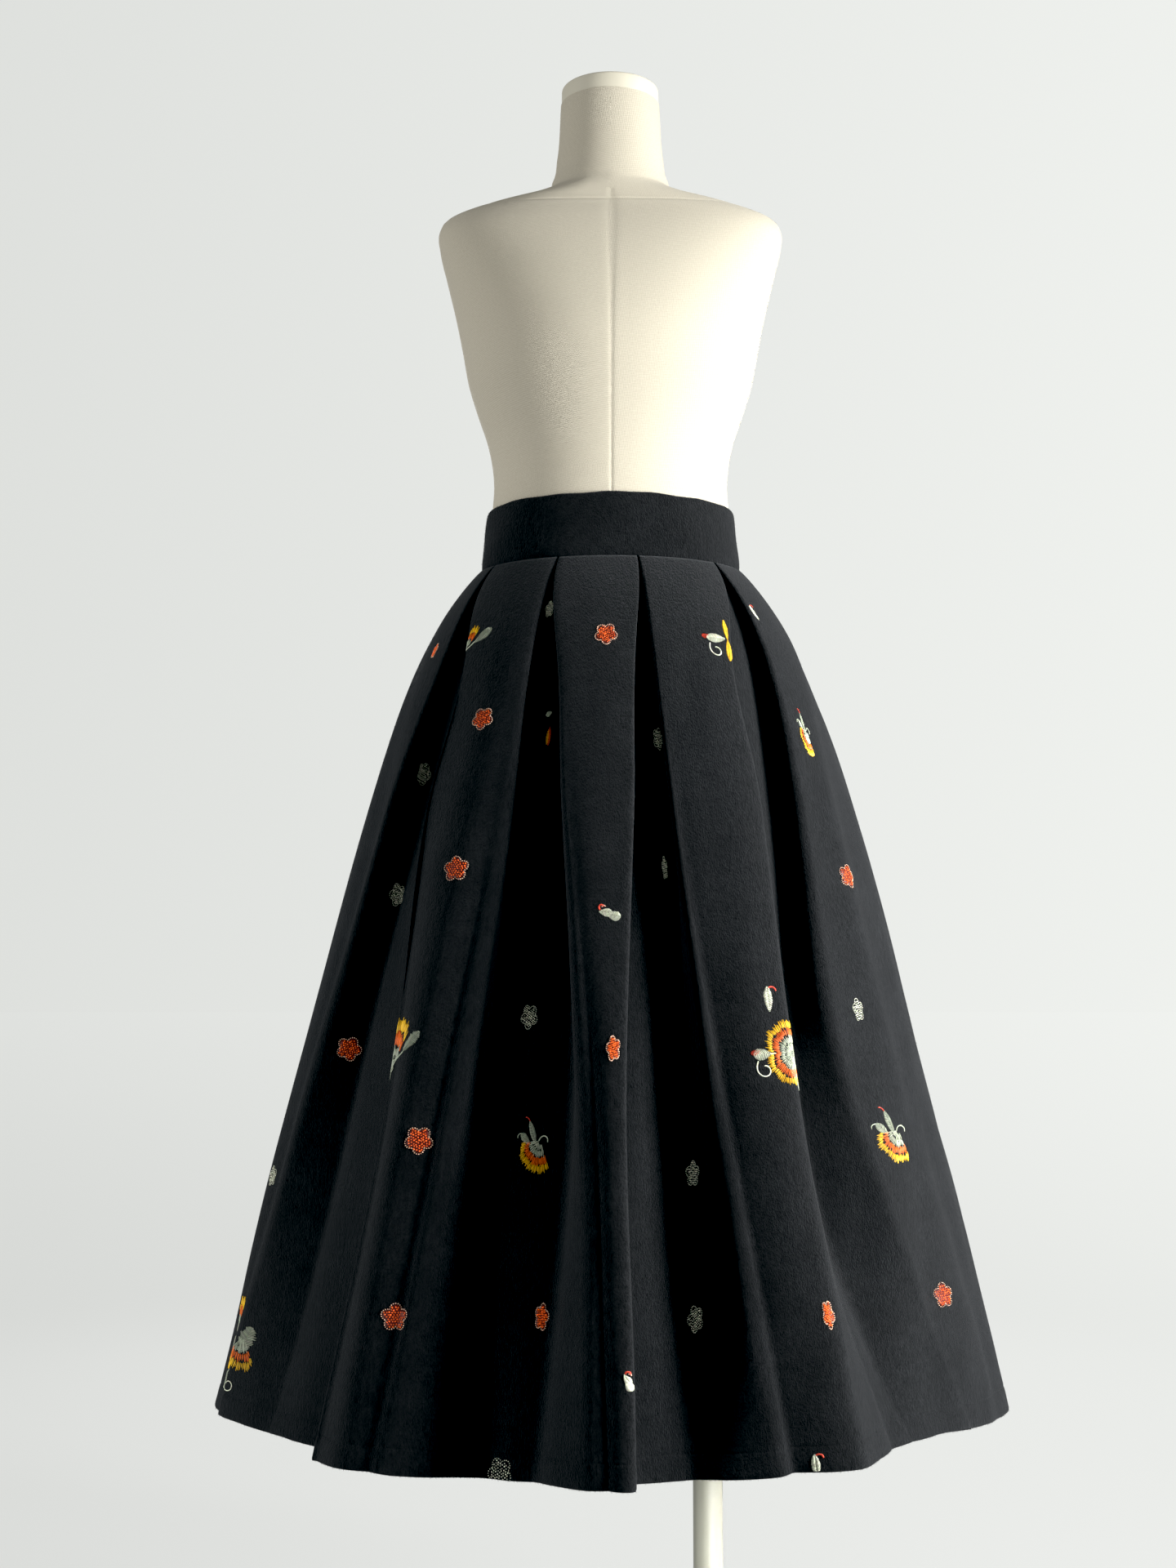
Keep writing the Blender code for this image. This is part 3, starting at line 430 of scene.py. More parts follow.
# Every row of a piece as whole arrays of along, out and heading, and each column's panel share:
# arcs round the folds (centre + way x radius x left normal), joined by straight stretches.
def skirtSection(first, last, drop):
    folds = [fold for number in range(first, last + 1) for fold in pleatFolds(number, drop)][2:-2]
    start, end = floorMiddle(first, drop), floorMiddle(last, drop)
    headings = [start[2]] + [headingBetween(a, b) for a, b in zip(folds, folds[1:])] + [end[2]]
    columns = [np.stack(start)[:, :, None]]
    shares = [np.full(1, -1.0)]
    for i, (along, out, radius, way) in enumerate(folds):
        turn = headings[i][:, None] + (headings[i + 1] - headings[i])[:, None] * np.linspace(
            0, 1, skirt["arcPoints"][i % 4])
        arc = np.stack([along[:, None] - way * radius[:, None] * np.sin(turn),
                        out[:, None] + way * radius[:, None] * np.cos(turn), turn])
        count = skirt["pointsBefore"][i % 4] if i else skirt["halfFloorPoints"]
        columns += [straightPoints(columns[-1][:, :, -1:], arc[:, :, :1], count), arc]
        onPanel = i % 4 == 2
        shares += [i // 4 + np.linspace(0.06, 0.94, count) if onPanel else np.full(count, -1.0),
                   np.full(arc.shape[2], -1.0)]
    end = np.stack(end)[:, :, None]
    columns += [straightPoints(columns[-1][:, :, -1:], end, skirt["halfFloorPoints"]), end]
    shares.append(np.full(skirt["halfFloorPoints"] + 1, -1.0))
    return *np.concatenate(columns, 2), np.concatenate(shares)


# Points spread evenly between two columns of points, without the two ends.
def straightPoints(start, end, count):
    share = (np.arange(count) + 1) / (count + 1)
    between = start + (end - start) * share
    between[2] = end[2]
    return between


# Rows: drop = (share ** power) x the length above the hem's stitches, then close rows to the edge.
def rowDrops():
    hem = skirt["drop"] - skirt["stitchLine"]
    upper = np.linspace(0, 1, skirt["rows"]) ** skirt["rowPower"] * (hem - 0.004)
    steps = np.array([-0.0022, -0.0012, -0.0005, 0.0, 0.0005, 0.0012, 0.0022, 0.0055, 0.0100, 0.0145,
                      0.0175, 0.0192, 0.0202, skirt["stitchLine"]])
    return np.concatenate([upper, hem + steps])


# Heights: each row falls by root(drop step squared + panel step squared - cloth step squared),
# and a share of what it falls beyond the drop itself shows, as the hem was levelled.
def clothHeights(drop, middles, panels):
    square = np.diff(drop)[:, None] ** 2 + np.diff(panels, axis=0) ** 2 - np.diff(middles, axis=0) ** 2
    fallen = np.concatenate([np.zeros((1, middles.shape[1])),
                             np.cumsum(np.sqrt(np.maximum(square, 0.0)), 0)])
    level = drop[:, None]
    return seamHeight - skirt["seamGap"] - level - skirt["sag"] * (fallen - level)


# How much higher the cloth hangs to the right: lift x drop share x exp(-(distance / reach) squared).
def sideLift(along, drop):
    share = along / ovalLength(*ovalAt(drop)[:2])[:, None]
    rise = np.exp(-((share - skirt["liftPlace"]) / skirt["liftReach"]) ** 2)
    return skirt["lift"] * (drop / skirt["drop"])[:, None] * rise


# Soft waves in the cloth: length across, length down, height, phase
waves = ((0.115, 1.30, 0.0010, 0.3), (0.071, 0.85, 0.0006, 1.9), (0.190, 0.46, 0.0009, 4.0),
         (0.043, 0.30, 0.0003, 2.6))
# Creases and soft ridges on panels: panel from the piece's left end, share across it at the top
# and at the bottom, first and last drop, half width, height (below zero is a trough)
creases = {
    "skirtFront": (
        (0, 0.30, 0.40, 0.10, 0.60, 0.016, -0.0020), (0, 0.75, 0.62, 0.35, 0.80, 0.020, 0.0022),
        (1, 0.35, 0.30, 0.02, 0.30, 0.012, -0.0010), (1, 0.70, 0.78, 0.42, 0.81, 0.018, -0.0016),
        (2, 0.50, 0.42, 0.30, 0.74, 0.014, 0.0012), (2, 0.28, 0.36, 0.02, 0.20, 0.010, -0.0008),
        (3, 0.42, 0.30, 0.05, 0.36, 0.013, -0.0014), (3, 0.62, 0.74, 0.38, 0.80, 0.019, 0.0018),
        (4, 0.24, 0.34, 0.16, 0.62, 0.016, 0.0034), (4, 0.55, 0.60, 0.50, 0.80, 0.020, -0.0042),
        (4, 0.80, 0.74, 0.10, 0.45, 0.014, -0.0018),
    ),
    "skirtBackLeft": (
        (0, 0.35, 0.45, 0.08, 0.52, 0.015, -0.0018), (0, 0.66, 0.60, 0.45, 0.80, 0.019, 0.0022),
        (1, 0.30, 0.26, 0.10, 0.42, 0.014, 0.0014), (1, 0.64, 0.72, 0.32, 0.78, 0.018, -0.0024),
    ),
    "skirtBackRight": (
        (0, 0.40, 0.34, 0.12, 0.58, 0.016, 0.0016), (0, 0.72, 0.66, 0.50, 0.80, 0.019, -0.0022),
        (1, 0.36, 0.44, 0.06, 0.40, 0.014, -0.0016), (1, 0.70, 0.62, 0.44, 0.79, 0.018, 0.0020),
    ),
}
# How far each panel's left edge, middle and right edge roll in or out, from the piece's left end
rolls = {
    "skirtFront": ((-0.002, 0.002, -0.004), (-0.004, 0.003, -0.006), (-0.005, 0.0, 0.002),
                   (-0.012, -0.001, 0.004), (-0.002, 0.002, 0.004)),
    "skirtBackLeft": ((-0.005, 0.002, 0.001), (-0.004, 0.003, -0.003)),
    "skirtBackRight": ((-0.004, 0.002, -0.002), (-0.005, 0.002, 0.002)),
}
rollDrops = (0.06, 0.40)                        # where the rolls start and are full


# How far the cloth stands off its plain form: waves of sines that grow down the skirt, plus
# each crease as height x exp(-(distance / half width) squared), faded in and out along it.
def clothRelief(name, drop, arc, shares):
    level = drop[:, None]
    relief = np.zeros_like(arc)
    for across, down, height, phase in waves:
        relief += height * np.sin(2 * math.pi * (arc / across + level / down) + phase)
    relief *= smoothStep(level, 0.01, 0.16)
    for panel, topShare, bottomShare, first, last, halfWidth, height in creases[name]:
        onPanel = np.where(shares >= 0)[0][np.floor(shares[shares >= 0]).astype(int) == panel]
        line = topShare + (bottomShare - topShare) * (level - first) / (last - first)
        panelArc, panelShare = arc[:, onPanel], shares[onPanel] - panel
        lineArc = np.array([np.interp(at, panelShare, row) for at, row in zip(line[:, 0], panelArc)])
        fade = smoothStep(level, first - 0.02, first + 0.3 * (last - first))
        fade = fade * (1 - smoothStep(level, last - 0.3 * (last - first), last + 0.02))
        ridge = np.exp(-((arc - lineArc[:, None]) / halfWidth) ** 2)
        near = np.abs(np.arange(arc.shape[1]) - onPanel.mean()) < len(onPanel)
        relief += height * fade * ridge * near
    return relief


# The rolls of a piece's panels: over each panel the parabola through its three values, and
# back to nothing at the middle of the pleats between them.
def panelRolls(name, drop, arc, shares):
    panels = rolls[name]
    places, values = [], []
    for number, (left, middle, right) in enumerate(panels):
        columns = np.where((shares >= number) & (shares < number + 1))[0]
        first, last = columns[0], columns[-1]
        for share in np.linspace(0.0, 1.0, 9):
            places.append(first + share * (last - first))
            values.append(left + (4 * middle - 3 * left - right) * share
                          + 2 * (left + right - 2 * middle) * share**2)
        if number + 1 < len(panels):
            following = np.where((shares >= number + 1) & (shares < number + 2))[0]
            places.append((last + following[0]) / 2)
            values.append(0.0)
    places = [0.0] + places + [arc.shape[1] - 1.0]
    values = [0.0] + values + [0.0]
    line = np.interp(np.arange(arc.shape[1]), places, values)
    return line[None, :] * smoothStep(drop[:, None], *rollDrops)


# A skirt piece: outer and inner skins at plus and minus their offsets from the middle of the
# cloth. The stitches pull a line into the hem, below which there are two layers: each dip is
# depth x exp(-(distance / reach) squared), and the edge waves by a product of two sines.
def makeSkirtPiece(name, node, first, last):
    drop = rowDrops()
    along, out, heading, shares = skirtSection(first, last, drop)
    oval = ovalAt(drop)
    middles = np.hypot(*ovalPoints(oval, along, out))
    panels = np.hypot(*ovalPoints(oval, along, np.zeros_like(out)))
    heights = clothHeights(drop, middles, panels) + sideLift(along, drop)
    steps = np.hypot(np.diff(along, axis=1), np.diff(out, axis=1))
    arc = np.concatenate([np.zeros((len(drop), 1)), np.cumsum(steps, 1)], 1)
    arc -= arc[:, arc.shape[1] // 2][:, None]
    relief = clothRelief(name, drop, arc, shares) + panelRolls(name, drop, arc, shares)
    level = drop[:, None]
    stitchLine = skirt["drop"] - skirt["stitchLine"]
    dip, dipReach = skirt["stitchDip"]
    stitches = 0.75 + 0.25 * np.cos(2 * math.pi * arc / skirt["stitchLength"])
    ditch = dip * stitches * np.exp(-((level - stitchLine) / dipReach) ** 2)
    tuck = skirt["seamTuck"][0] * np.exp(-level / skirt["seamTuck"][1])
    puff = skirt["hemPuff"][0] * smoothStep(level, stitchLine, stitchLine + skirt["hemPuff"][1])
    rounding = skirt["edgeRounding"] * smoothStep(level, skirt["drop"] - skirt["hemRounding"], skirt["drop"])
    wave, rate, slowRate, phase = skirt["edgeWave"]
    edgeWave = wave * np.sin(arc * rate + phase) * np.sin(arc * slowRate)
    edgeWave = edgeWave * smoothStep(level, stitchLine, skirt["drop"])
    outward = skirt["cloth"] / 2 + relief - ditch - tuck + puff - rounding
    inward = skirt["cloth"] / 2 + (skirt["hemCloth"] - skirt["cloth"]) * smoothStep(
        level, stitchLine - 0.001, stitchLine + 0.001) - rounding * 1.5
    skins = []
    for offset in (outward, relief - inward):
        x, y = ovalPoints(oval, along - offset * np.sin(heading), out + offset * np.cos(heading))
        for end, neighbour, pleat in ((0, 1, first), (-1, -2, last)):
            atZip = (pleat in (0, len(pleats))) & (drop < skirt["zipEndDrop"])
            gap = np.where(atZip, skirt["zipHalfGap"], skirt["seamGap"] / 2)
            step = np.hypot(x[:, neighbour] - x[:, end], y[:, neighbour] - y[:, end])
            x[:, end] += (x[:, neighbour] - x[:, end]) * gap / step
            y[:, end] += (y[:, neighbour] - y[:, end]) * gap / step
        skins.append(np.stack([x, y, heights + edgeWave], -1))
    uv = np.stack(np.broadcast_arrays(arc, -level * skirt["mapStretch"]), -1).reshape(-1, 2)
    piece = newPiece(name, np.concatenate(skins), wallFaces(*along.shape), woolCloth,
                     uv=np.concatenate([uv, uv + skirt["mapShift"]]), sharp=50)
    standFor(piece, node)
    return {"name": name, "piece": piece, "outer": skins[0], "inner": skins[1], "arc": arc}


sheets = [makeSkirtPiece(*row) for row in skirtPieces]
print("skirt cloth made", [len(sheet["piece"].data.polygons) for sheet in sheets])


# Waistband
band = {"cloth": 0.0045, "formGap": 0.0005, "rise": 0.0035, "top": 1.1535, "overlap": 0.0007,
        "puff": 0.0008, "ditch": (0.0010, 0.0025), "topLimit": 0.0006, "mapShift": 2.0,
        "sidePoints": 22, "arcPoints": 8, "columns": 260, "crowding": 0.8,
        "topWaves": ((0.0005, 52, 0.7), (0.0004, 131, 2.0)),            # height, rate round, phase
        "sideWaves": ((0.0005, 60, 5, 0), (0.0004, 23, -3, 1))}         # and rate down before the phase
bandPieces = (("bandFront", "waistband_front", -0.25, 0.25),
              ("bandBackLeft", "waistband_back_left", -0.5, -0.25),
              ("bandBackRight", "waistband_back_right", 0.25, 0.5))
formWaist = ((seamHeight, 0.1258, 0.0938), (1.157, 0.1205, 0.0905))   # height, half width, half depth


# A band piece: its upright section, up the inside, over the round top and down the outside,
# carried round the waist. The outside is puffed as 1 - (2u - 1)^4 and drawn in at the seam by
# ditch x exp(-height / reach). Sines wave its top edge and its side.
def makeBandPiece(name, node, start, end):
    (lowHeight, lowWidth, lowDepth), (highHeight, highWidth, highDepth) = formWaist
    around = ovalLength(lowWidth, lowDepth)
    startGap, endGap = (skirt["zipHalfGap"] if abs(side) == 0.5 else skirt["seamGap"] / 2
                        for side in (start, end))
    count = int(band["columns"] * (end - start)) + 1
    share = np.linspace(start + startGap / around, end - endGap / around, count)
    arc = share * around
    plainTop = band["top"] + band["rise"] * np.cos(2 * math.pi * share)
    top = plainTop + sum(height * np.sin(arc * rate + phase) for height, rate, phase in band["topWaves"])
    top = np.minimum(top, plainTop + band["topLimit"])
    side = np.linspace(0, 1, band["sidePoints"])
    turn = np.linspace(math.pi, 0, band["arcPoints"] + 2)[1:-1]
    radius = band["cloth"] / 2
    low, high = seamHeight - band["overlap"], (top - radius)[:, None]
    up, down = side ** band["crowding"], 1 - (1 - side[::-1]) ** band["crowding"]
    waves = sum(height * np.sin(arc[:, None] * rate + side * rateDown + phase)
                for height, rate, rateDown, phase in band["sideWaves"])
    ditch, ditchReach = band["ditch"]
    puff = band["puff"] * (1 - (2 * down - 1) ** 4) + waves * (1 - (2 * down - 1) ** 2)
    puff = puff - ditch * np.exp(-(down * (high - low)) / ditchReach)
    overTop = np.broadcast_to(radius + radius * np.cos(turn), (count, len(turn)))
    outs = np.concatenate([np.zeros((count, len(side))), overTop, band["cloth"] + puff], 1) + band["formGap"]
    heights = np.concatenate([low + (high - low) * up, high + radius * np.sin(turn),
                              low + (high - low) * down], 1)
    u = (heights - lowHeight) / (highHeight - lowHeight)
    width, depth = lowWidth + (highWidth - lowWidth) * u, lowDepth + (highDepth - lowDepth) * u
    angles = np.linspace(-math.pi, math.pi, 1441)
    lengths = runningLength(np.column_stack([lowWidth * np.sin(angles), lowDepth * np.cos(angles)]))
    angle = np.interp((share + 0.5) * lengths[-1], lengths, angles)[:, None]
    normalX, normalY = depth * np.sin(angle), -width * np.cos(angle)
    size = np.hypot(normalX, normalY)
    points = np.stack([width * np.sin(angle) + outs * normalX / size,
                       -depth * np.cos(angle) + outs * normalY / size, heights], -1)
    way = runningLength(np.column_stack([outs[0], heights[0]]))
    uv = np.stack(np.broadcast_arrays(arc[:, None], way + band["mapShift"]), -1)
    faces = tubeFaces(count, points.shape[1], turnRound=True)
    piece = newPiece(name, points, faces, woolBand, uv=uv, sharp=50)
    standFor(piece, node)
    outside = points[:, band["sidePoints"] + 2:].transpose(1, 0, 2)
    return {"piece": piece, "points": points, "outside": outside, "arc": arc}


bands = [makeBandPiece(*row) for row in bandPieces]
print("waistband made", [len(made["piece"].data.polygons) for made in bands])


# Places to sew on: a cloth's outer points and normals, the distance along each row, and a
# search tree for rays.
def makeGround(outer, arc):
    down, across = np.gradient(outer, axis=0), np.gradient(outer, axis=1)
    normal = unit(np.cross(down, across))
    rows, columns = arc.shape
    tree = BVHTree.FromPolygons(outer.reshape(-1, 3).tolist(), gridFaces(rows, columns).tolist())
    search = (arc + 10.0 * np.arange(rows)[:, None]).ravel()
    return {"outer": outer, "normal": normal, "arc": arc, "tree": tree, "search": search}


# Points on the cloth from row, distance along it and lift: each lies between the two nearest
# rows and columns, and is then moved out along the normal.
def onCloth(ground, row, arc, lift):
    rows, columns = ground["arc"].shape
    upper = np.clip(np.floor(row).astype(int), 0, rows - 2)
    places, normals = [], []
    for r in (upper, upper + 1):
        column = np.searchsorted(ground["search"], arc + r * 10.0) - 1 - r * columns
        column = np.clip(column, 0, columns - 2)
        start, end = ground["arc"][r, column], ground["arc"][r, column + 1]
        share = ((arc - start) / (end - start))[..., None]
        for found, key in ((places, "outer"), (normals, "normal")):
            found.append(ground[key][r, column] * (1 - share) + ground[key][r, column + 1] * share)
    down = (row - upper)[..., None]
    normal = unit(normals[0] * (1 - down) + normals[1] * down)
    return places[0] * (1 - down) + places[1] * down + normal * lift[..., None]


# Local places about an anchor, x to the right and y up, as rows and distances along them.
# The cloth's columns lean, so y runs up them and x makes up for the lean.
def aroundAnchor(ground, anchor, x, y):
    row, column = anchor
    count = np.arange(len(ground["arc"]))
    left, share = int(column), column - int(column)
    line = ground["outer"][:, left] * (1 - share) + ground["outer"][:, left + 1] * share
    lineArc = ground["arc"][:, left] * (1 - share) + ground["arc"][:, left + 1] * share
    length = runningLength(line)
    near = min(int(row), len(count) - 2)
    up = line[near] - line[near + 1]
    across = ground["outer"][near, left + 1] - ground["outer"][near, left]
    lean = float(up @ across / np.linalg.norm(up) / np.linalg.norm(across))
    rise = math.sqrt(1 - lean * lean)
    atRow = np.interp(np.interp(row, count, length) - y / rise, length, count)
    return atRow, np.interp(atRow, count, lineArc) + x - y * lean / rise


# The photo's ray through a pixel: steps across and up for each unit of depth, then pitched up.
def photoRay(across, down):
    step = view["sensor"] / view["pixelsHigh"] / view["lens"]
    ray = Vector(((across - view["pixelsWide"] / 2) * step, (view["pixelsHigh"] / 2 - down) * step, -1.0))
    return Matrix.Rotation(math.radians(90 + view["pitch"]), 3, "X") @ ray.normalized()


# The row and column where a ray meets the cloth, from the corners of the face that it hits.
def anchorAt(ground, start, ray):
    place, _, face, _ = ground["tree"].ray_cast(start, ray)
    if place is None:
        return None
    r, c = divmod(face, ground["arc"].shape[1] - 1)
    first = ground["outer"][r, c]
    found = []
    for index, corner in ((r, ground["outer"][r + 1, c]), (c, ground["outer"][r, c + 1])):
        edge = corner - first
        found.append(index + float(np.clip((np.array(place) - first) @ edge / (edge @ edge), 0, 1)))
    return tuple(found)


skirtGrounds = [makeGround(sheet["outer"], sheet["arc"]) for sheet in sheets]


# Embroidery threads and the painted shade patches' wine, and the colour bands of the petals from the middle
# out
threads = {"yellow": (0.95, 0.56, 0.018), "orange": (0.88, 0.165, 0.014), "sage": (0.46, 0.51, 0.38),
           "cream": (0.80, 0.83, 0.65), "red": (0.62, 0.060, 0.030), "rose": (0.80, 0.50, 0.36),
           "flame": (0.90, 0.135, 0.016), "shadeWine": (0.08, 0.005, 0.003)}
petalBands = ((0.10, 0.36, "sage"), (0.30, 0.54, "sage"), (0.50, 0.77, "orange"), (0.74, 1.00, "yellow"))
stitch = {"pitch": 0.00108, "width": 0.00084, "height": 0.00062, "sunk": -0.00020,
          "knotRadius": 0.00092, "knotHeight": 0.00120, "knotSides": 5}
flower = {"radius": 0.0121, "notch": 0.32, "pitch": 0.00240, "edgePitch": 0.00190, "inset": 0.0015,
          "patchColumns": 20, "patchLift": 0.00045, "patchUnder": -0.0004}
# A knot's base ring, its upper ring and its top: reach, height and painted shade
# the base ring is darkened as painted shade between the knots, the top lightened as a painted highlight
knotRings = ((1.00, -0.25, 0.16), (0.78, 0.66, 0.85), (0.00, 1.00, 1.12))
# The points of a stitch: share along it, share of its width beside it, share of its height
barPoints = ((0.0, 0.0, 0.0), (0.10, 0.5, 0.0), (0.10, 0.0, 0.8), (0.10, -0.5, 0.0),
             (0.5, 0.55, 0.0), (0.5, 0.0, 1.0), (0.5, -0.55, 0.0),
             (0.90, 0.5, 0.0), (0.90, 0.0, 0.8), (0.90, -0.5, 0.0), (1.0, 0.0, 0.0))
# Painted light on each stitch: a painted highlight on its top, painted shade on its sides and sunk ends
barPaintedShading = {"top": 1.08, "side": 0.30, "end": 0.55}
chance = np.random.default_rng(7)

millimetre = 0.001
# Sizes in millimetres and degrees. Fans: middle, heading, half spread, radius, lean. Leaves:
# start, end, width, thread, how ragged. Tendrils: start, heading, length, turn, width, thread.
blossoms = {
    "fanBlossom": {
        "fans": (((6, 8), 240, 54, 29, 0.06),),
        "leaves": (((1, 4), (-7, 25), 7.0, "sage", 0.1), ((-6, 5), (-17, 14), 8.5, "sage", 0.3)),
        "tendrils": (((-7, 25), 120, 6, 60, 1.5, "red"), ((-17, 14), 185, 6, 90, 1.5, "sage"),
                     ((4, 8), 60, 15, -165, 1.7, "sage")),
    },
    "wingBlossom": {
        "fans": (((17, -12), 120, 53, 31, -0.06), ((17, -12), 227, 54, 29, 0.06)),
        "leaves": (((15, 2), (20, -45), 16.0, "sage", 0.2), ((-4, -11), (-20, -11), 12.0, "cream", 0.1),
                   ((-14, -8), (-22, -10), 6.0, "red", 0.2)),
        "tendrils": (((0, -11), 180, 5, 0, 1.8, "cream"), ((-17, -17), 240, 32, 300, 1.9, "cream")),
    },
    "sliverBlossom": {
        "fans": (),
        "leaves": (((9, -9), (-14, -8), 13.0, "cream", 0.1), ((-11, -5), (-19, -7), 7.0, "red", 0.2),
                   ((12, -10), (15, 16), 7.0, "yellow", 0.1), ((12, -10), (5, -36), 7.0, "yellow", 0.1)),
        "tendrils": (((-12, -15), 240, 34, 300, 2.2, "cream"),),
    },
    "leafBlossom": {
        "fans": (((-6, -19), 84, 22, 49, 0.0), ((-8, -20), 252, 16, 26, 0.0)),
        "leaves": (((11, 1), (27, 18), 13.0, "sage", 0.5), ((-7, -6), (-10, -28), 9.0, "sage", 0.2)),
        "tendrils": (((-5, -8), 22, 18, 15, 2.4, "sage"), ((-5, -11), 340, 12, -250, 1.5, "sage")),
    },
    "peekBlossom": {
        "fans": (),
        "leaves": (((6, 17), (-6, 14), 7.0, "sage", 0.3), ((4, 2), (2, -18), 8.0, "orange", 0.1),
                   ((1, -1), (-1, -17), 6.0, "yellow", 0.1)),
        "tendrils": (),
    },
    "spoonBlossom": {
        "fans": (((-9, -13), 80, 12, 32, 0.0),),
        "leaves": (((2, -2), (18, 13), 13.0, "sage", 0.2), ((-9, -12), (-15, -26), 4.5, "sage", 0.2)),
        "tendrils": (((-9, -11), 40, 16, 10, 2.4, "sage"), ((15, 11), 80, 6, 200, 1.6, "cream")),
    },
    "hangingBlossom": {
        "fans": (((2, 14), 268, 34, 31, 0.0), ((-8, 14), 262, 14, 34, 0.0), ((-9, 12), 92, 12, 34, 0.0)),
        "leaves": (((1, -2), (9, 23), 18.0, "sage", 0.5), ((-8, -20), (-13, -37), 7.5, "sage", 0.2)),
        "tendrils": (((-11, -34), 320, 24, 290, 1.7, "cream"), ((-6, -18), 230, 5, 0, 1.6, "sage")),
    },
    "bud": {
        "fans": (),
        "leaves": (((-9, 0), (5, -2), 10.0, "cream", 0.1), ((-1, -3), (13, -6), 12.0, "cream", 0.15)),
        "tendrils": (((-8, 2), 120, 9, -190, 2.6, "red"), ((-6, 5), 60, 4, -120, 1.4, "rose")),
    },
    "leafBud": {
        "fans": (),
        "leaves": (((1, -12), (-1, 11), 8.5, "cream", 0.2),),
        "tendrils": (((0, 10), 30, 8, -120, 2.4, "red"),),
    },
}


# A thread's colour a few times over, a little lighter or darker each time.
def threadShades(name, count, spread=0.24):
    shade = 1 + spread * chance.uniform(-1, 1, (count, 1))
    return np.array(threads[name]) * shade * (1 + 0.05 * chance.uniform(-1, 1, (count, 3)))


# Rows of stitches: start, end, width and colour.
def stitchRows(start, end, width, colours):
    width = np.broadcast_to(width, len(start))
    return np.column_stack([start, end, width, colours])


# Fan petal: stitches run out from one point, in bands of colour with ragged ends. The outer
# edge is radius (1 + lean t - 0.16 t^4), with t from -1 to 1 across the fan.
def fanPetal(middle, heading, spread, radius, lean):
    rows = []
    for inner, outer, name in petalBands:
        reach = math.radians(spread) * 2 * radius * millimetre * (inner + outer) / 2
        count = max(int(reach / stitch["pitch"]), 3)
        t = (np.arange(count) + 0.5 + chance.uniform(-0.25, 0.25, count)) / count * 2 - 1
        turn = np.radians(heading + spread * t)
        edge = radius * millimetre * (1 + lean * t - 0.16 * t**4) * (1 + 0.02 * np.sin(t * 9 + middle[0]))
        way = np.column_stack([np.cos(turn), np.sin(turn)])
        starts = (edge * (inner + chance.uniform(-0.04, 0.04, count)))[:, None] * way
        ends = (edge * (outer + chance.uniform(-0.10, 0.03, count)))[:, None] * way
        centre = np.array(middle) * millimetre
        rows.append(stitchRows(centre + starts, centre + ends, stitch["width"], threadShades(name, count)))
    return np.concatenate(rows)


# Leaf: slanted stitches side by side along a line. Half width = width / 2 x sin(pi t)^0.7,
# and a ragged leaf's stitches end at uneven widths.
def leafStitches(start, end, width, name, ragged):
    start, end = np.array(start) * millimetre, np.array(end) * millimetre
    length = np.linalg.norm(end - start)
    along = (end - start) / length
    side = np.array([-along[1], along[0]])
    count = max(int(length / stitch["pitch"]), 3)
    t = (np.arange(count) + 0.5) / count
    half = width * 0.0005 * np.sin(math.pi * np.clip(t, 0.03, 0.97)) ** 0.7
    rows = []
    for way in (1.0, -1.0):
        reach = half * (1 - ragged * chance.uniform(0, 0.6, count) - 0.06 * chance.uniform(0, 1, count))
        middle = start + (t * length)[:, None] * along
        tips = middle + way * reach[:, None] * side + (reach * 0.45)[:, None] * along
        roots = middle - way * (half * 0.10)[:, None] * side
        rows.append(stitchRows(roots, tips, stitch["width"], threadShades(name, count)))
    return np.concatenate(rows)


# Tendril: stem stitches, each overlapping the next, on a line that curls by turn x t^1.5.
def tendrilStitches(start, heading, length, turn, width, name):
    count = max(int(length / 1.1), 3)
    t = (np.arange(count) + 0.5) / count
    headings = np.radians(heading + turn * t**1.5)
    step = length * millimetre / count
    way = np.column_stack([np.cos(headings), np.sin(headings)])
    places = np.array(start) * millimetre + np.concatenate([[[0, 0]], np.cumsum(way * step, 0)])[:-1]
    side = np.column_stack([-way[:, 1], way[:, 0]]) * width * 0.00016
    return stitchRows(places - way * step * 0.3 - side, places + way * step * 1.7 + side,
                      width * 0.00075, threadShades(name, count))


# All stitches of a blossom: its leaves first, then its fans and its tendrils.
def blossomStitches(kind):
    plan = blossoms[kind]
    rows = [leafStitches(*leaf) for leaf in plan["leaves"]]
    rows += [fanPetal(*fan) for fan in plan["fans"]]
    rows += [tendrilStitches(*tendril) for tendril in plan["tendrils"]]
    return np.concatenate(rows)


# Reach of a flower's edge, five round lobes: radius x (1 - notch x (1 - |cos(2.5 turn)|^0.9)).
def flowerEdge(turn):
    return flower["radius"] * (1 - flower["notch"] * (1 - np.abs(np.cos(2.5 * turn)) ** 0.9))


# Places at angles from straight up: reach x (sin turn, cos turn).
def fromTop(turn, reach):
    return np.column_stack([reach * np.sin(turn), reach * np.cos(turn)])


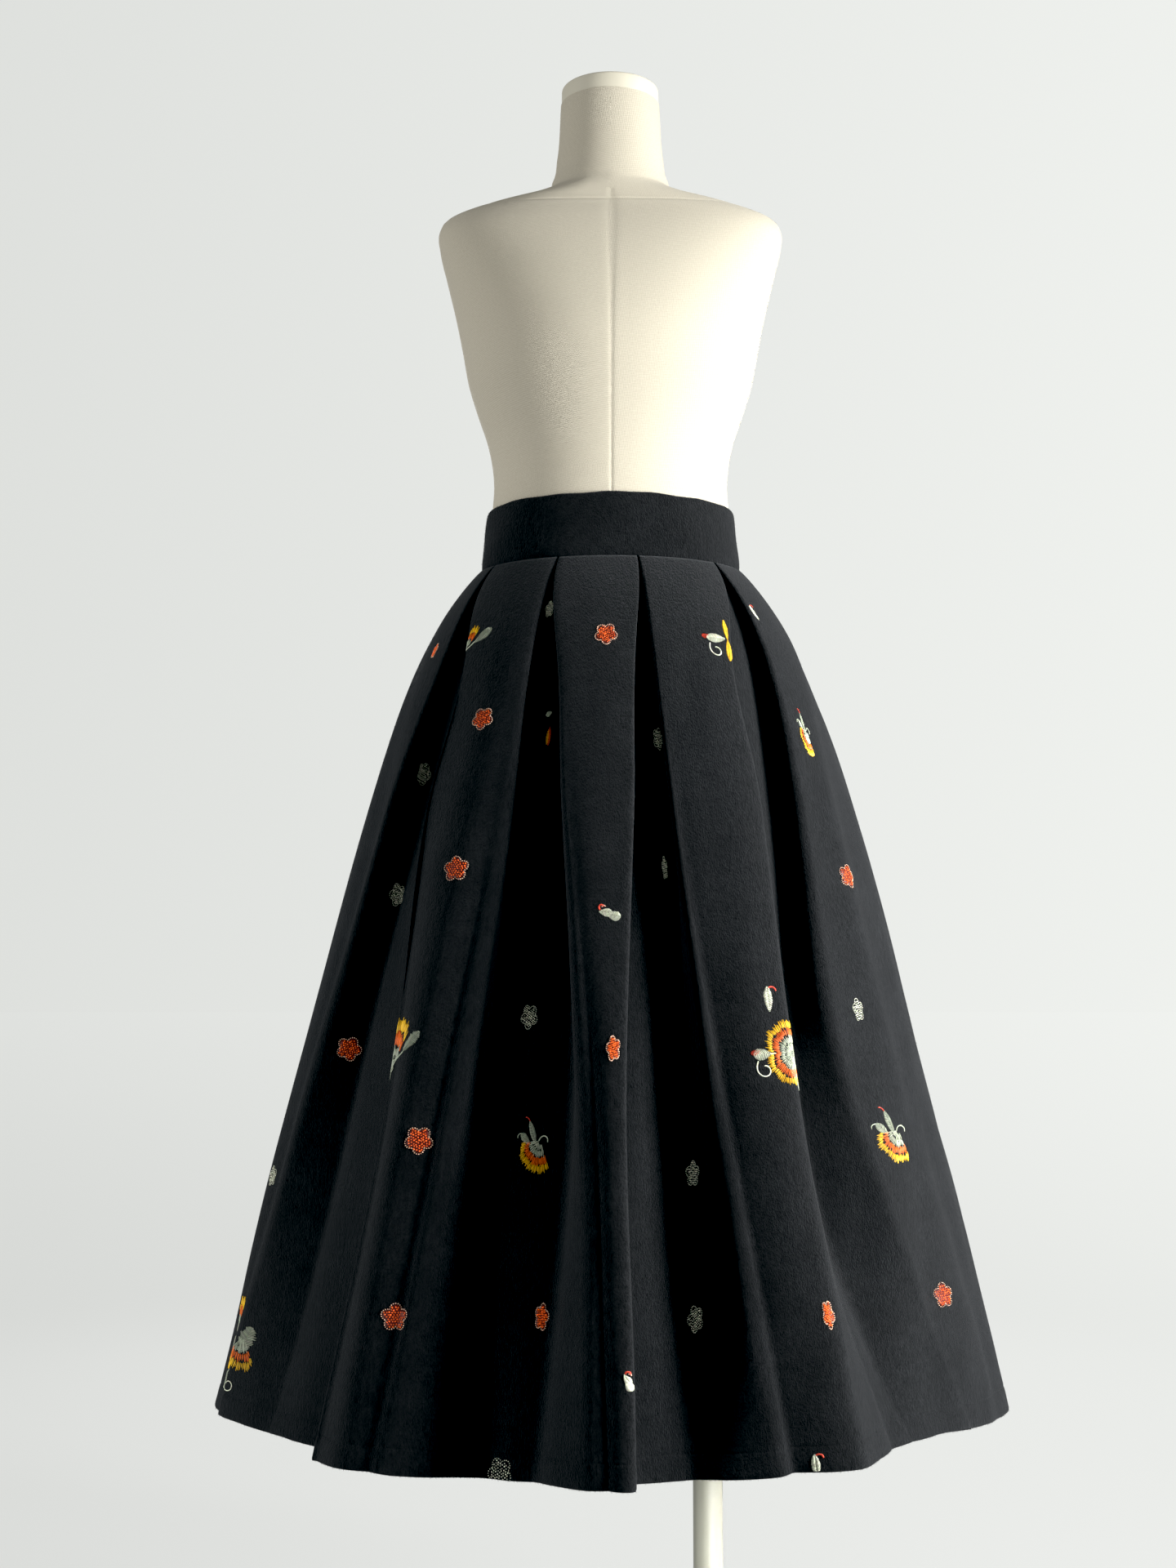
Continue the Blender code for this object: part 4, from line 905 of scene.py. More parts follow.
# Knot flower: knots on a shaken honeycomb inside the edge, and finer ones in another thread
# at even steps along it.
def flowerKnots(fill, outline, full):
    steps = np.arange(-9, 10)
    across, up = (grid.ravel() for grid in np.meshgrid(steps, steps))
    places = flower["pitch"] * np.column_stack([across + 0.5 * up, 0.866 * up])
    places += flower["pitch"] * chance.uniform(-0.17, 0.17, places.shape)
    turn = np.arctan2(places[:, 0], places[:, 1])
    places = places[np.linalg.norm(places, axis=1) < flowerEdge(turn) - flower["inset"]]
    turn = np.linspace(0, 2 * math.pi, 361)
    line = fromTop(turn, flowerEdge(turn))
    length = runningLength(line)
    count = int(length[-1] / flower["edgePitch"])
    turn = np.interp(np.arange(count) * length[-1] / count, length, turn)
    edge = fromTop(turn, flowerEdge(turn))
    inside = np.column_stack([places, full * chance.uniform(0.80, 1.15, len(places)),
                              threadShades(fill, len(places), 0.50)])
    rim = np.column_stack([edge, full * chance.uniform(0.62, 0.80, count),
                           threadShades(outline, count, 0.35)])
    return np.concatenate([inside, rim])


# Turn, size and mirror local places, and stretch them along the cloth.
def turned(places, turn, size, mirrored, wide):
    x, y = places[..., 0] * (-1 if mirrored else 1) * size, places[..., 1] * size
    c, s = math.cos(math.radians(turn)), math.sin(math.radians(turn))
    return (x * c - y * s) * wide, x * s + y * c


# Only what lies wholly on the cloth is kept: a stitch past an edge was cut off with it.
def onGround(ground, row, arc, edge=0.0012):
    r = np.clip(np.round(row).astype(int), 0, len(ground["arc"]) - 1)
    inside = (arc > ground["arc"][r, 0] + edge) & (arc < ground["arc"][r, -1] - edge)
    return (inside & (row > 0.6) & (row < len(ground["arc"]) - 1.6)).reshape(len(row), -1).all(1)


# Knots as low domes: a base ring, a smaller ring turned half a step, and a top point.
# Each knot's colour is darkened at its base as painted shade and lightened at its top as a painted
# highlight.
def knotShapes(ground, anchor, rows, laid):
    sides = stitch["knotSides"]
    reach, rise, shade = (np.repeat(column, (sides, sides, 1)) for column in np.transpose(knotRings))
    angle = np.arange(sides) * 2 * math.pi / sides
    angle = np.concatenate([angle, angle + math.pi / sides, [0]])
    ringX, ringY = reach * np.cos(angle), reach * np.sin(angle)
    spin = chance.uniform(0, 2 * math.pi, (len(rows), 1))
    radius = stitch["knotRadius"] * rows[:, 2:3]
    long = chance.uniform(1.0, 1.25, (len(rows), 1))
    offsetX = radius * (ringX * long * np.cos(spin) - ringY / long * np.sin(spin))
    offsetY = radius * (ringX * long * np.sin(spin) + ringY / long * np.cos(spin))
    centreX, centreY = turned(rows[:, :2], *laid)
    atRow, arc = aroundAnchor(ground, anchor, centreX[:, None] + offsetX, centreY[:, None] + offsetY)
    keep = onGround(ground, atRow, arc)
    points = onCloth(ground, atRow[keep], arc[keep], rise * stitch["knotHeight"] * rows[keep, 2:3])
    # the thread colours times each ring's painted shade and painted highlight
    colours = rows[keep, None, 3:6] * shade[None, :, None]
    k = np.arange(sides)
    after = (k + 1) % sides
    faces = [np.stack([k, after, sides + k], -1), np.stack([after, sides + after, sides + k], -1),
             np.stack([sides + k, sides + after, np.full(sides, 2 * sides)], -1)]
    base = np.stack([0 * k[2:], np.arange(sides - 1, 1, -1), np.arange(sides - 2, 0, -1)], -1)
    return points, colours, np.concatenate(faces + [base])


# Painted shade under a flower's knots: a low dark patch that stands in for the shade between
# the knots, with its edge and its underside in the cloth. Its rings are shares of the flower's edge.
def shadePatchShapes(ground, anchor, name, laid):
    columns, up = flower["patchColumns"], flower["patchLift"]
    turn = np.arange(columns) * 2 * math.pi / columns
    rings = ((0.3, up), (0.6, up), (0.85, up), (0.97, -up / 2))
    middle = [[0, 0]]
    edges = [fromTop(turn, share * flowerEdge(turn)) for share, _ in rings]
    places = np.concatenate([middle] + edges + [middle])
    lift = np.concatenate([[up]] + [np.full(columns, rise) for _, rise in rings] + [[flower["patchUnder"]]])
    x, y = turned(places, laid[0], laid[1], False, laid[3])
    atRow, arc = aroundAnchor(ground, anchor, x[None], y[None])
    keep = onGround(ground, atRow, arc)
    points = onCloth(ground, atRow[keep], arc[keep], np.broadcast_to(lift, (keep.sum(), len(lift))))
    colours = np.broadcast_to(threads[name], points.shape)
    k = np.arange(columns)
    after = (k + 1) % columns
    last = 1 + columns * (len(rings) - 1)
    faces = [np.stack([0 * k, 1 + after, 1 + k], -1),
             np.stack([last + k, last + after, 0 * k + last + columns], -1)]
    for first in range(1, last, columns):
        faces += [np.stack([first + k, first + after, first + columns + after], -1),
                  np.stack([first + k, first + columns + after, first + columns + k], -1)]
    return points, colours, np.concatenate(faces)


# Satin stitches as slim three-sided bars that taper to both ends and stand up in the middle.
# Each stitch's colour carries a painted highlight along its top and painted shade on its sides and ends.
def satinShapes(ground, anchor, rows, laid):
    start = np.column_stack(turned(rows[:, 0:2], *laid))
    along = np.column_stack(turned(rows[:, 2:4], *laid)) - start
    side = unit(np.column_stack([-along[:, 1], along[:, 0]]))
    share, beside, top = np.transpose(barPoints)
    places = (start[:, None] + along[:, None] * share[:, None] +
              side[:, None] * beside[:, None] * rows[:, 4, None, None])
    atRow, arc = aroundAnchor(ground, anchor, places[..., 0], places[..., 1])
    keep = onGround(ground, atRow, arc)
    height = stitch["height"] * chance.uniform(0.8, 1.25, (len(rows), 1))
    lift = np.where(top > 0, top * height, stitch["sunk"])
    points = onCloth(ground, atRow[keep], arc[keep], lift[keep])
    # painted highlight on the top points, painted shade on the sides and ends
    shade = np.where(top > 0, barPaintedShading["top"], barPaintedShading["side"])
    shade[[0, -1]] = barPaintedShading["end"]
    colours = rows[keep, None, 5:8] * shade[None, :, None]
    faces = [(0, 2, 1), (0, 3, 2), (0, 1, 3), (10, 7, 8), (10, 8, 9), (10, 9, 7)]
    for a in (1, 4):
        for p, q in ((a, a + 1), (a + 1, a + 2), (a + 2, a)):
            faces += [(p, q, q + 3), (p, q + 3, p + 3)]
    return points, colours, np.array(faces)


# All shapes of one kind on one garment piece, joined into one object.
def joinShapes(name, shapes):
    points, colours = (np.concatenate([shape[k] for shape in shapes]) for k in (0, 1))
    faces = repeatFaces(shapes[0][2], len(points), points.shape[1])
    piece = newPiece(name, points, faces, thread, colours=colours.reshape(-1, 3))
    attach(piece, garment)
    print(name, "polygons", len(faces), "motifs", len(shapes))


# Motifs that the photo shows: kind, pixel across, pixel down, turn, size, stretch across
seenMotifs = (
    ("orangeFlower", 742, 776, 40, 1.02, 0.86), ("orangeFlower", 591, 880, 35, 0.95, 1.0),
    ("orangeFlower", 558, 1064, 5, 0.98, 1.06), ("orangeFlower", 1038, 1073, -12, 0.95, 1.05),
    ("orangeFlower", 428, 1285, 50, 0.95, 1.08), ("orangeFlower", 751, 1284, 12, 0.93, 0.52),
    ("orangeFlower", 515, 1397, 36, 1.0, 1.0), ("orangeFlower", 485, 1613, 2, 0.95, 1.1),
    ("orangeFlower", 664, 1613, 60, 0.96, 0.62), ("orangeFlower", 1153, 1585, 5, 0.94, 1.5),
    ("orangeFlower", 1014, 1610, 40, 1.0, 0.40), ("orangeFlower", 533, 797, 0, 0.7, 0.4),
    ("sageFlower", 673, 745, 10, 0.8, 0.5), ("sageFlower", 518, 948, 44, 0.93, 0.78),
    ("sageFlower", 488, 1096, 20, 0.93, 0.8), ("sageFlower", 648, 1245, 33, 0.93, 0.9),
    ("sageFlower", 848, 1437, 0, 0.92, 0.72), ("sageFlower", 851, 1615, 25, 0.95, 0.7),
    ("sageFlower", 806, 905, 50, 0.92, 0.5), ("sageFlower", 814, 1063, 5, 0.9, 0.3),
    ("sageFlower", 1050, 1236, 8, 0.9, 0.6), ("sageFlower", 612, 1803, 30, 1.0, 1.12),
    ("sageFlower", 334, 1440, 10, 0.8, 0.8),
    ("spoonBlossom", 580, 784, 0, 0.98, 1.0), ("sliverBlossom", 877, 774, 0, 0.95, 0.9),
    ("fanBlossom", 987, 902, -14, 0.95, 0.5), ("peekBlossom", 671, 892, 0, 0.95, 0.6),
    ("leafBlossom", 487, 1288, 0, 1.05, 1.0), ("wingBlossom", 948, 1275, 0, 1.0, 1.0),
    ("fanBlossom", 655, 1408, 0, 1.0, 0.95), ("fanBlossom", 1093, 1393, 0, 1.04, 1.45),
    ("hangingBlossom", 292, 1655, 0, 1.05, 1.6),
    ("bud", 744, 1116, 0, 0.86, 1.0), ("leafBud", 941, 1223, -8, 1.0, 1.15),
    ("bud", 770, 1690, -55, 0.62, 0.8), ("leafBud", 999, 1794, 0, 0.8, 1.15),
    ("leafBud", 923, 750, 10, 0.8, 0.8),
)
# Motifs out of its view: their spacing, the drops between which they lie, how far they stay from
# others and from the sides, how far they are moved by chance, and how they are turned and sized
hidden = {"across": 0.125, "down": 0.132, "first": 0.085, "last": 0.792, "clear": 0.082, "reach": 0.020,
          "leftMargin": 0.035, "rightMargin": 0.030, "shake": 0.016, "shakeRows": 1.2,
          "turn": 22, "size": (0.95, 1.08)}
hiddenKinds = ("orangeFlower", "sageFlower", "fanBlossom", "sageFlower", "orangeFlower", "bud",
               "orangeFlower", "wingBlossom", "sageFlower", "orangeFlower", "leafBlossom",
               "sageFlower", "leafBud")


# Whether the photo would show a place: the ray to it meets no cloth before it.
def inPhoto(place):
    start = Vector(view["place"])
    way = Vector(place) - start
    hits = [ground["tree"].ray_cast(start, way.normalized())[3] for ground in skirtGrounds]
    return all(hit is None or hit > way.length - 0.004 for hit in hits)


# Motifs out of the photo's sight: a half-drop repeat over each garment piece, without the
# places that the photo shows or that lie close to another motif.
def hiddenMotifs(ground, number, placed):
    found = []
    drop = rowDrops()
    cross = np.array([[0, 1, -1, 0, 0], [0, 0, 0, 1, -1]]) * hidden["reach"]
    for step in range(int((hidden["last"] - hidden["first"]) / hidden["down"]) + 1):
        level = hidden["first"] + step * hidden["down"]
        row = float(np.interp(level, drop, np.arange(len(drop))))
        arc = ground["arc"][int(row)]
        start = arc[0] + hidden["leftMargin"] + (hidden["across"] / 2 if step % 2 else 0.0)
        for at in np.arange(start, arc[-1] - hidden["rightMargin"], hidden["across"]):
            at = at + chance.uniform(-hidden["shake"], hidden["shake"])
            down = row + chance.uniform(-hidden["shakeRows"], hidden["shakeRows"])
            anchor = down, float(np.interp(at, arc, np.arange(len(arc))))
            places = onCloth(ground, *aroundAnchor(ground, anchor, *cross), np.full(5, 0.001))
            if any(np.linalg.norm(places[0] - other) < hidden["clear"] for other in placed):
                continue
            if number == 0 and any(inPhoto(place) for place in places):
                continue
            placed.append(places[0])
            kind = hiddenKinds[(len(found) + 5 * number) % len(hiddenKinds)]
            flowerTurn = kind.endswith("Flower")
            turn = chance.uniform(0, 72) if flowerTurn else chance.uniform(-hidden["turn"], hidden["turn"])
            found.append((kind, anchor, (turn, chance.uniform(*hidden["size"]), chance.random() < 0.5, 1.0)))
    return found


# Fill, outline, the colour of the painted shade patch between the knots, and how large the knots are
flowers = {"orangeFlower": ("flame", "rose", "shadeWine", 1.0), "sageFlower": ("cream", "cream", None, 0.78)}


# Every motif, seen ones first, sewn as knots or satin stitches on each skirt piece.
def sewMotifs():
    placed = []
    for number, (sheet, ground) in enumerate(zip(sheets, skirtGrounds)):
        motifs = []
        for kind, across, down, turn, size, stretch in seenMotifs if number == 0 else ():
            anchor = anchorAt(ground, Vector(view["place"]), photoRay(across, down))
            if anchor:
                motifs.append((kind, anchor, (turn, size, False, stretch)))
                placed.append(ground["outer"][int(anchor[0]), int(anchor[1])])
        motifs += hiddenMotifs(ground, number, placed)
        # the Patches pieces are painted shade under the flowers' knots
        shapes = {"Knots": [], "Satin": [], "Patches": []}
        for kind, anchor, laid in motifs:
            if kind in flowers:
                fill, outline, under, full = flowers[kind]
                knots = flowerKnots(fill, outline, full)
                shapes["Knots"].append(knotShapes(ground, anchor, knots, laid))
                if under:
                    shapes["Patches"].append(shadePatchShapes(ground, anchor, under, laid))
            else:
                shapes["Satin"].append(satinShapes(ground, anchor, blossomStitches(kind), laid))
        for kind, made in shapes.items():
            joinShapes(sheet["name"] + kind, made)


sewMotifs()
print("embroidery sewn")


# Loose fibres: thin closed spikes of three sides, from a place on the cloth to a free tip.
def spikes(name, fibres):
    roots, tips = (np.concatenate(part) for part in zip(*fibres))
    way = unit(tips - roots)
    side = unit(np.cross(way, chance.normal(size=way.shape)))
    other = np.cross(way, side)
    corners = [roots + nap["radius"] * (math.cos(a) * side + math.sin(a) * other)
               for a in (0, 2 * math.pi / 3, 4 * math.pi / 3)]
    faces = repeatFaces([(0, 1, 3), (1, 2, 3), (2, 0, 3), (0, 2, 1)], len(roots), 4)
    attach(newPiece(name, np.stack(corners + [tips], 1), faces, woolTufts), garment)


# How many fibres on each kind of cloth, their size, and the spacing and length of those on edges
nap = {"front": 30000, "back": 12000, "band": 3500, "radius": 0.00011, "length": (0.0008, 0.0019),
       "hemPitch": 0.0009, "bandPitch": 0.0016, "edgeLength": (0.0008, 0.0022), "rooted": 0.0002,
       "rise": (0.35, 1.1), "droop": 0.45, "shake": 0.45, "edgeShake": 0.6}


# Fibres spread evenly over a cloth: rows are drawn in proportion to their width and spacing.
def clothFibres(ground, count):
    rows = len(ground["arc"])
    width = ground["arc"][:, -1] - ground["arc"][:, 0]
    step = np.linalg.norm(np.gradient(ground["outer"][:, ground["arc"].shape[1] // 2], axis=0), axis=1)
    share = np.cumsum(width * step)
    row = np.interp(chance.random(count), share / share[-1], np.arange(rows))
    nearest = np.round(row).astype(int)
    arc = ground["arc"][nearest, 0] + width[nearest] * chance.uniform(0.001, 0.999, count)
    roots = onCloth(ground, row, arc, np.full(count, -nap["rooted"]))
    lifted = onCloth(ground, row, arc, np.full(count, nap["rooted"]))
    way = (lifted - roots) / (2 * nap["rooted"]) * chance.uniform(*nap["rise"], (count, 1))
    way = unit(way + chance.normal(size=way.shape) * nap["shake"] - np.array([0, 0, nap["droop"]]))
    return roots, roots + way * chance.uniform(*nap["length"], (count, 1))


# Fibres along an edge, pointing away from the cloth and outwards.
def edgeFibres(line, away, pitch):
    length = runningLength(line)[-1]
    count = int(length / pitch)
    roots = pointsAlong(line, np.sort(chance.uniform(0, length, count)))
    way = unit(np.array(away) + chance.normal(size=roots.shape) * nap["edgeShake"])
    return roots, roots + way * chance.uniform(*nap["edgeLength"], (count, 1))


for number, (sheet, ground) in enumerate(zip(sheets, skirtGrounds)):
    fibres = [clothFibres(ground, nap["back" if number else "front"])]
    middle = (sheet["outer"][-1] + sheet["inner"][-1]) / 2
    for line in (sheet["outer"][-1], middle, sheet["inner"][-1]):
        fibres.append(edgeFibres(line + [0, 0, 0.0003], (0, 0, -1.2), nap["hemPitch"]))
    spikes(sheet["name"] + "Nap", fibres)
fibres = []
for made in bands:
    ground = makeGround(made["outside"], np.tile(made["arc"], (len(made["outside"]), 1)))
    fibres.append(clothFibres(ground, nap["band"]))
    for k in (2, 4, 6):                         # lines over the band's round top
        line = made["points"][:, band["sidePoints"] + k]
        fibres.append(edgeFibres(line - [0, 0, 0.0002], (0, 0, 0.9), nap["bandPitch"]))
spikes("bandNap", fibres)
print("nap laid")


# Form, cap and stand
formSections = (   # height, half width, front reach, back reach, squareness
    (0.8000, 0.1460, 0.0940, 0.1060, 2.20), (0.8080, 0.1530, 0.1000, 0.1120, 2.20),
    (0.8600, 0.1590, 0.1040, 0.1170, 2.15), (0.9300, 0.1600, 0.1060, 0.1160, 2.10),
    (1.0000, 0.1490, 0.1030, 0.1080, 2.05), (1.0500, 0.1365, 0.0980, 0.0985, 2.00),
    (1.0920, 0.1258, 0.0938, 0.0938, 2.00), (1.1570, 0.1205, 0.0905, 0.0905, 2.00),
    (1.1850, 0.1190, 0.0895, 0.0890, 2.00), (1.2250, 0.1250, 0.0940, 0.0900, 2.05),
    (1.2600, 0.1365, 0.1040, 0.0940, 2.10), (1.2900, 0.1455, 0.1130, 0.0970, 2.15),
    (1.3200, 0.1510, 0.1150, 0.0990, 2.20), (1.3600, 0.1590, 0.1090, 0.0995, 2.30),
    (1.4000, 0.1685, 0.0960, 0.0960, 2.40), (1.4300, 0.1755, 0.0820, 0.0880, 2.50),
    (1.4480, 0.1765, 0.0720, 0.0790, 2.50), (1.4600, 0.1690, 0.0650, 0.0720, 2.40),
    (1.4690, 0.1510, 0.0610, 0.0670, 2.20), (1.4770, 0.1240, 0.0590, 0.0640, 2.10),
    (1.4840, 0.0920, 0.0580, 0.0620, 2.00), (1.4910, 0.0690, 0.0565, 0.0595, 2.00),
    (1.5040, 0.0600, 0.0550, 0.0565, 2.00), (1.5300, 0.0550, 0.0530, 0.0540, 2.00),
    (1.5875, 0.0512, 0.0512, 0.0512, 2.00),
)
form = {"rows": 150, "columns": 132, "seamAngles": (0, 90, 180, 270), "seamDepth": 0.0007,
        "seamHalf": 0.0011, "neckSeam": 1.4780, "neckSeamDip": 0.0120, "neckSeamDepth": 0.00084,
        "neckRows": (1.462, 1.494, 46), "nearSeam": (-2.0, -1.2, -0.7, -0.35, 0.0, 0.35, 0.7, 1.2, 2.0)}


# The torso: ovals of the sections, joined by curves with the slopes between. Each seam sinks
# by depth x exp(-(distance / half width) squared); the neck seam dips at the front.
def makeForm(material):
    table = np.array(formSections)
    heights = table[:, 0]
    level = np.unique(np.concatenate([np.linspace(heights[0], heights[-1], form["rows"]),
                                      np.linspace(*form["neckRows"]), heights]))
    curve = runThrough(heights, table[:, 1:], level)
    halfWidth, front, back, square = (curve[:, k:k + 1] for k in range(4))
    near = np.radians(form["nearSeam"])
    angle = np.unique(np.round(np.concatenate(
        [np.linspace(0, 2 * math.pi, form["columns"], endpoint=False)] +
        [(math.radians(seam) + near) % (2 * math.pi) for seam in form["seamAngles"]]), 6))
    x = halfWidth * np.sign(np.sin(angle)) * np.abs(np.sin(angle)) ** (2 / square)
    depth = -np.sign(np.cos(angle)) * np.abs(np.cos(angle)) ** (2 / square)
    y = np.where(depth < 0, front, back) * depth
    radius = np.hypot(x, y)
    level = level[:, None]
    sink = np.zeros_like(x)
    for seam in form["seamAngles"]:
        apart = np.angle(np.exp(1j * (angle - math.radians(seam)))) * radius
        sink += form["seamDepth"] * np.exp(-(apart / form["seamHalf"]) ** 2) * (level < form["neckSeam"])
    neckSeam = form["neckSeam"] - form["neckSeamDip"] * np.cos(angle)
    sink += form["neckSeamDepth"] * np.exp(-((level - neckSeam) / form["seamHalf"]) ** 2)
    scale = 1 - sink / radius
    points = np.stack(np.broadcast_arrays(x * scale, y * scale, level), -1)
    across = np.hypot(np.diff(x, axis=1), np.diff(y, axis=1))
    arc = np.concatenate([np.zeros_like(level), np.cumsum(across, 1)], 1)
    slope = runningLength(np.column_stack([level, (front + halfWidth) / 2]))
    uv = np.stack(np.broadcast_arrays(arc, slope[:, None]), -1)
    piece = newPiece("formCover", points, tubeFaces(*x.shape, turnRound=True), material, uv=uv, sharp=60)
    standFor(piece, "form_torso")


# A turned piece: a profile of radius and height, top to bottom on its outer side, spun round
# an upright axis. A solid one is capped at both ends, and a ring closes on itself.
def makeTurned(name, node, profile, x, material, ring=False, columns=96):
    radius, height = np.transpose(profile)[:, :, None]
    angle = np.linspace(0, 2 * math.pi, columns, endpoint=False)
    points = np.stack(np.broadcast_arrays(x + radius * np.cos(angle), radius * np.sin(angle), height), -1)
    rows = len(profile)
    faces = tubeFaces(rows, columns)
    if ring:
        faces = gridFaces(rows, columns, closeRows=True, closeColumns=True)
    standFor(newPiece(name, points, faces, material, sharp=40), node)


# A rounded corner of a profile: a quarter circle from one angle to another about a centre.
def roundCorner(radius, height, size, start, end, count=6):
    turns = np.radians(np.linspace(start, end, count))
    return [(radius + size * math.cos(t), height + size * math.sin(t)) for t in turns]


stand = {"capRadius": 0.05025, "capBottom": 1.5878, "capTop": 1.6050, "capRounding": 0.0030,
         "poleX": 0.094, "poleRadius": 0.0145, "flangeRadius": 0.036, "flangeThickness": 0.005,
         "flangeNeck": 0.022, "flangeHeight": 0.026, "baseRadius": 0.185, "baseThickness": 0.008,
         "rounding": 0.002, "socketRadius": 0.027, "socketHeight": 0.034, "gap": 0.0003,
         "capEdge": 0.0005, "flangeRounding": 0.001, "plateEdge": 0.0006}


# The neck cap and the stand: each profile is a few rounded corners and straight runs.
def makeStand(cream, lacquer, steel):
    s = stand
    rounding, capRounding = s["rounding"], s["capRounding"]
    cap = roundCorner(s["capRadius"] - capRounding, s["capTop"] - capRounding, capRounding, 90, 0, 9)
    edge = s["capEdge"]
    cap += roundCorner(s["capRadius"] - edge, s["capBottom"] + edge, edge, 0, -90, 4)
    makeTurned("neckCap", "form_neck_cap", cap, 0.0, cream, columns=128)
    flangeTop, bore = formSections[0][0] - s["gap"], s["poleRadius"] + s["gap"]
    flangeLow, flangeEnd = flangeTop - s["flangeThickness"], flangeTop - s["flangeHeight"]
    edge = s["flangeRounding"]
    flange = [(bore, flangeTop)] + roundCorner(s["flangeRadius"] - edge, flangeTop - edge, edge, 90, 0, 5)
    flange += roundCorner(s["flangeRadius"] - edge, flangeLow + edge, edge, 0, -90, 5)
    flange += [(s["flangeNeck"], flangeLow), (s["flangeNeck"], flangeEnd), (bore, flangeEnd)]
    makeTurned("flange", "form_flange", flange, s["poleX"], steel, ring=True)
    poleBottom = s["baseThickness"] + s["gap"]
    pole = [(s["poleRadius"], z) for z in np.linspace(flangeTop, poleBottom, 12)]
    makeTurned("pole", "form_pole", pole, s["poleX"], lacquer)
    socketTop = poleBottom + s["socketHeight"]
    socket = roundCorner(s["socketRadius"] - rounding, socketTop - rounding, rounding, 90, 0)
    socket = [(bore, socketTop)] + socket + [(s["socketRadius"], poleBottom), (bore, poleBottom)]
    makeTurned("socket", "base_socket", socket, s["poleX"], steel, ring=True)
    plate = roundCorner(s["baseRadius"] - rounding, s["baseThickness"] - rounding, rounding, 90, 0)
    edge = s["plateEdge"]
    plate += roundCorner(s["baseRadius"] - edge, edge, edge, 0, -90, 4)
    makeTurned("basePlate", "base_plate", plate, 0.0, lacquer, columns=160)


# Plain weave: over and under ridges of two threads, each the sine of its own direction,
# with a little noise in the yarns. Shade runs from the holes, 0, to the yarns' tops, 1.
def makeWeaveGroup():
    group, given, result = newGroup("plainWeave", Threads=1100.0, Turn=(0, 0, 0))
    wobble = addNoise(group, given["Vector"], 160.0, 2.0, 0.5)["Color"]
    shifted = calculate(group, "MULTIPLY_ADD", wobble, (0.0012, 0.0012, 0.0), given["Vector"],
                        kind="ShaderNodeVectorMath")
    laid = addNode(group, "ShaderNodeVectorRotate", {"Vector": shifted, "Rotation": given["Turn"]},
                   rotation_type="EULER_XYZ").outputs[0]
    many = addNode(group, "ShaderNodeVectorMath", {0: laid, "Scale": given["Threads"]}, operation="SCALE")
    parts = addNode(group, "ShaderNodeSeparateXYZ", {0: many.outputs[0]}).outputs
    ridges = [calculate(group, "SINE", calculate(group, "MULTIPLY", parts[axis], math.pi)) for axis in "XY"]
    weave = mapRange(group, calculate(group, "MULTIPLY", *ridges), -1.0, 1.0)
    yarn = addNoise(group, given["Vector"], 420.0, 3.0, 0.6)["Fac"]
    shade = calculate(group, "MULTIPLY_ADD", yarn, 0.5, calculate(group, "MULTIPLY", weave, 0.5))
    return endGroup(group, result, shade, weave)


weaveGroup = makeWeaveGroup()


# Canvas cover: yarns lighter than the holes between them, laid on the bias.
def makeLinen():
    material, tree, shader = newMaterial("formCanvas", (0.60, 0.56, 0.45), 0.92, Specular_IOR_Level=0.2,
                                         Sheen_Weight=0.12, Sheen_Roughness=0.5)
    where = addNode(tree, "ShaderNodeUVMap", uv_map="clothMap").outputs["UV"]
    addPattern(tree, shader, weaveGroup, where, (0.40, 0.36, 0.27), (0.66, 0.62, 0.51), 0.5, 0.0004,
               Threads=900.0, Turn=(0, 0, math.radians(38)))
    return material


creamCap = makeFinish("creamCap", (0.58, 0.545, 0.43), (0.66, 0.63, 0.515), 0.55, 0.0, 700.0, 0.0001)
paleLacquer = makeFinish("paleLacquer", (0.31, 0.31, 0.25), (0.37, 0.37, 0.305), 0.32, 0.0, 500.0, 0.00006,
                         Coat_Weight=0.3, Coat_Roughness=0.15)
dullSteel = makeFinish("dullSteel", (0.42, 0.42, 0.41), (0.56, 0.56, 0.54), 0.34, 0.9, 900.0, 0.00005)
blackEnamel = makeFinish("blackEnamel", (0.014, 0.014, 0.016), (0.026, 0.026, 0.028), 0.30, 0.3, 1500.0,
                         0.00002)
blackTape = makeFinish("blackTape", (0.006, 0.006, 0.007), (0.016, 0.016, 0.018), 0.75, 0.0, 2400.0, 0.0001)
makeForm(makeLinen())
makeStand(creamCap, paleLacquer, dullSteel)
print("form and stand made")


# Zip: the coil between the cloth edges, from the band's top edge down the centre back pleat
zipStyle = {"topGap": 0.0012, "length": 0.160, "halfWidth": 0.0011, "tapeHalf": 0.00045, "pitch": 0.0013,
            "toothHalf": 0.00075, "toothHeight": 0.00042, "toothDepth": 0.00055, "stagger": 0.00030,
            "toothOut": 0.0003, "bandPoints": 12, "floorPoints": 36}


# The coil's path as heights and distances behind the middle, on the band and then on the floor
# of the centre back pleat.
def zipPath():
    top = band["top"] - band["rise"] - zipStyle["topGap"]
    (lowHeight, _, lowDepth), (highHeight, _, highDepth) = formWaist
    onBand = np.linspace(top, seamHeight, zipStyle["bandPoints"])
    bandY = np.interp(onBand, (lowHeight, highHeight), (lowDepth, highDepth))
    bandY = bandY + band["formGap"] + band["cloth"] / 2
    drop = np.linspace(0.0, zipStyle["length"], zipStyle["floorPoints"])
    along, out, _ = floorMiddle(len(pleats), drop)
    oval = ovalAt(drop)
    _, floorY = ovalPoints(oval, along[:, None], out[:, None])
    _, panelY = ovalPoints(oval, along[:, None], np.zeros((len(drop), 1)))
    heights = clothHeights(drop, floorY, panelY)[:, 0]
    return np.concatenate([onBand, heights[1:]]), np.concatenate([bandY, floorY[1:, 0]])


zipCorners = ((-1, -1), (1, -1), (1, 1), (-1, 1))     # round a box: across and out


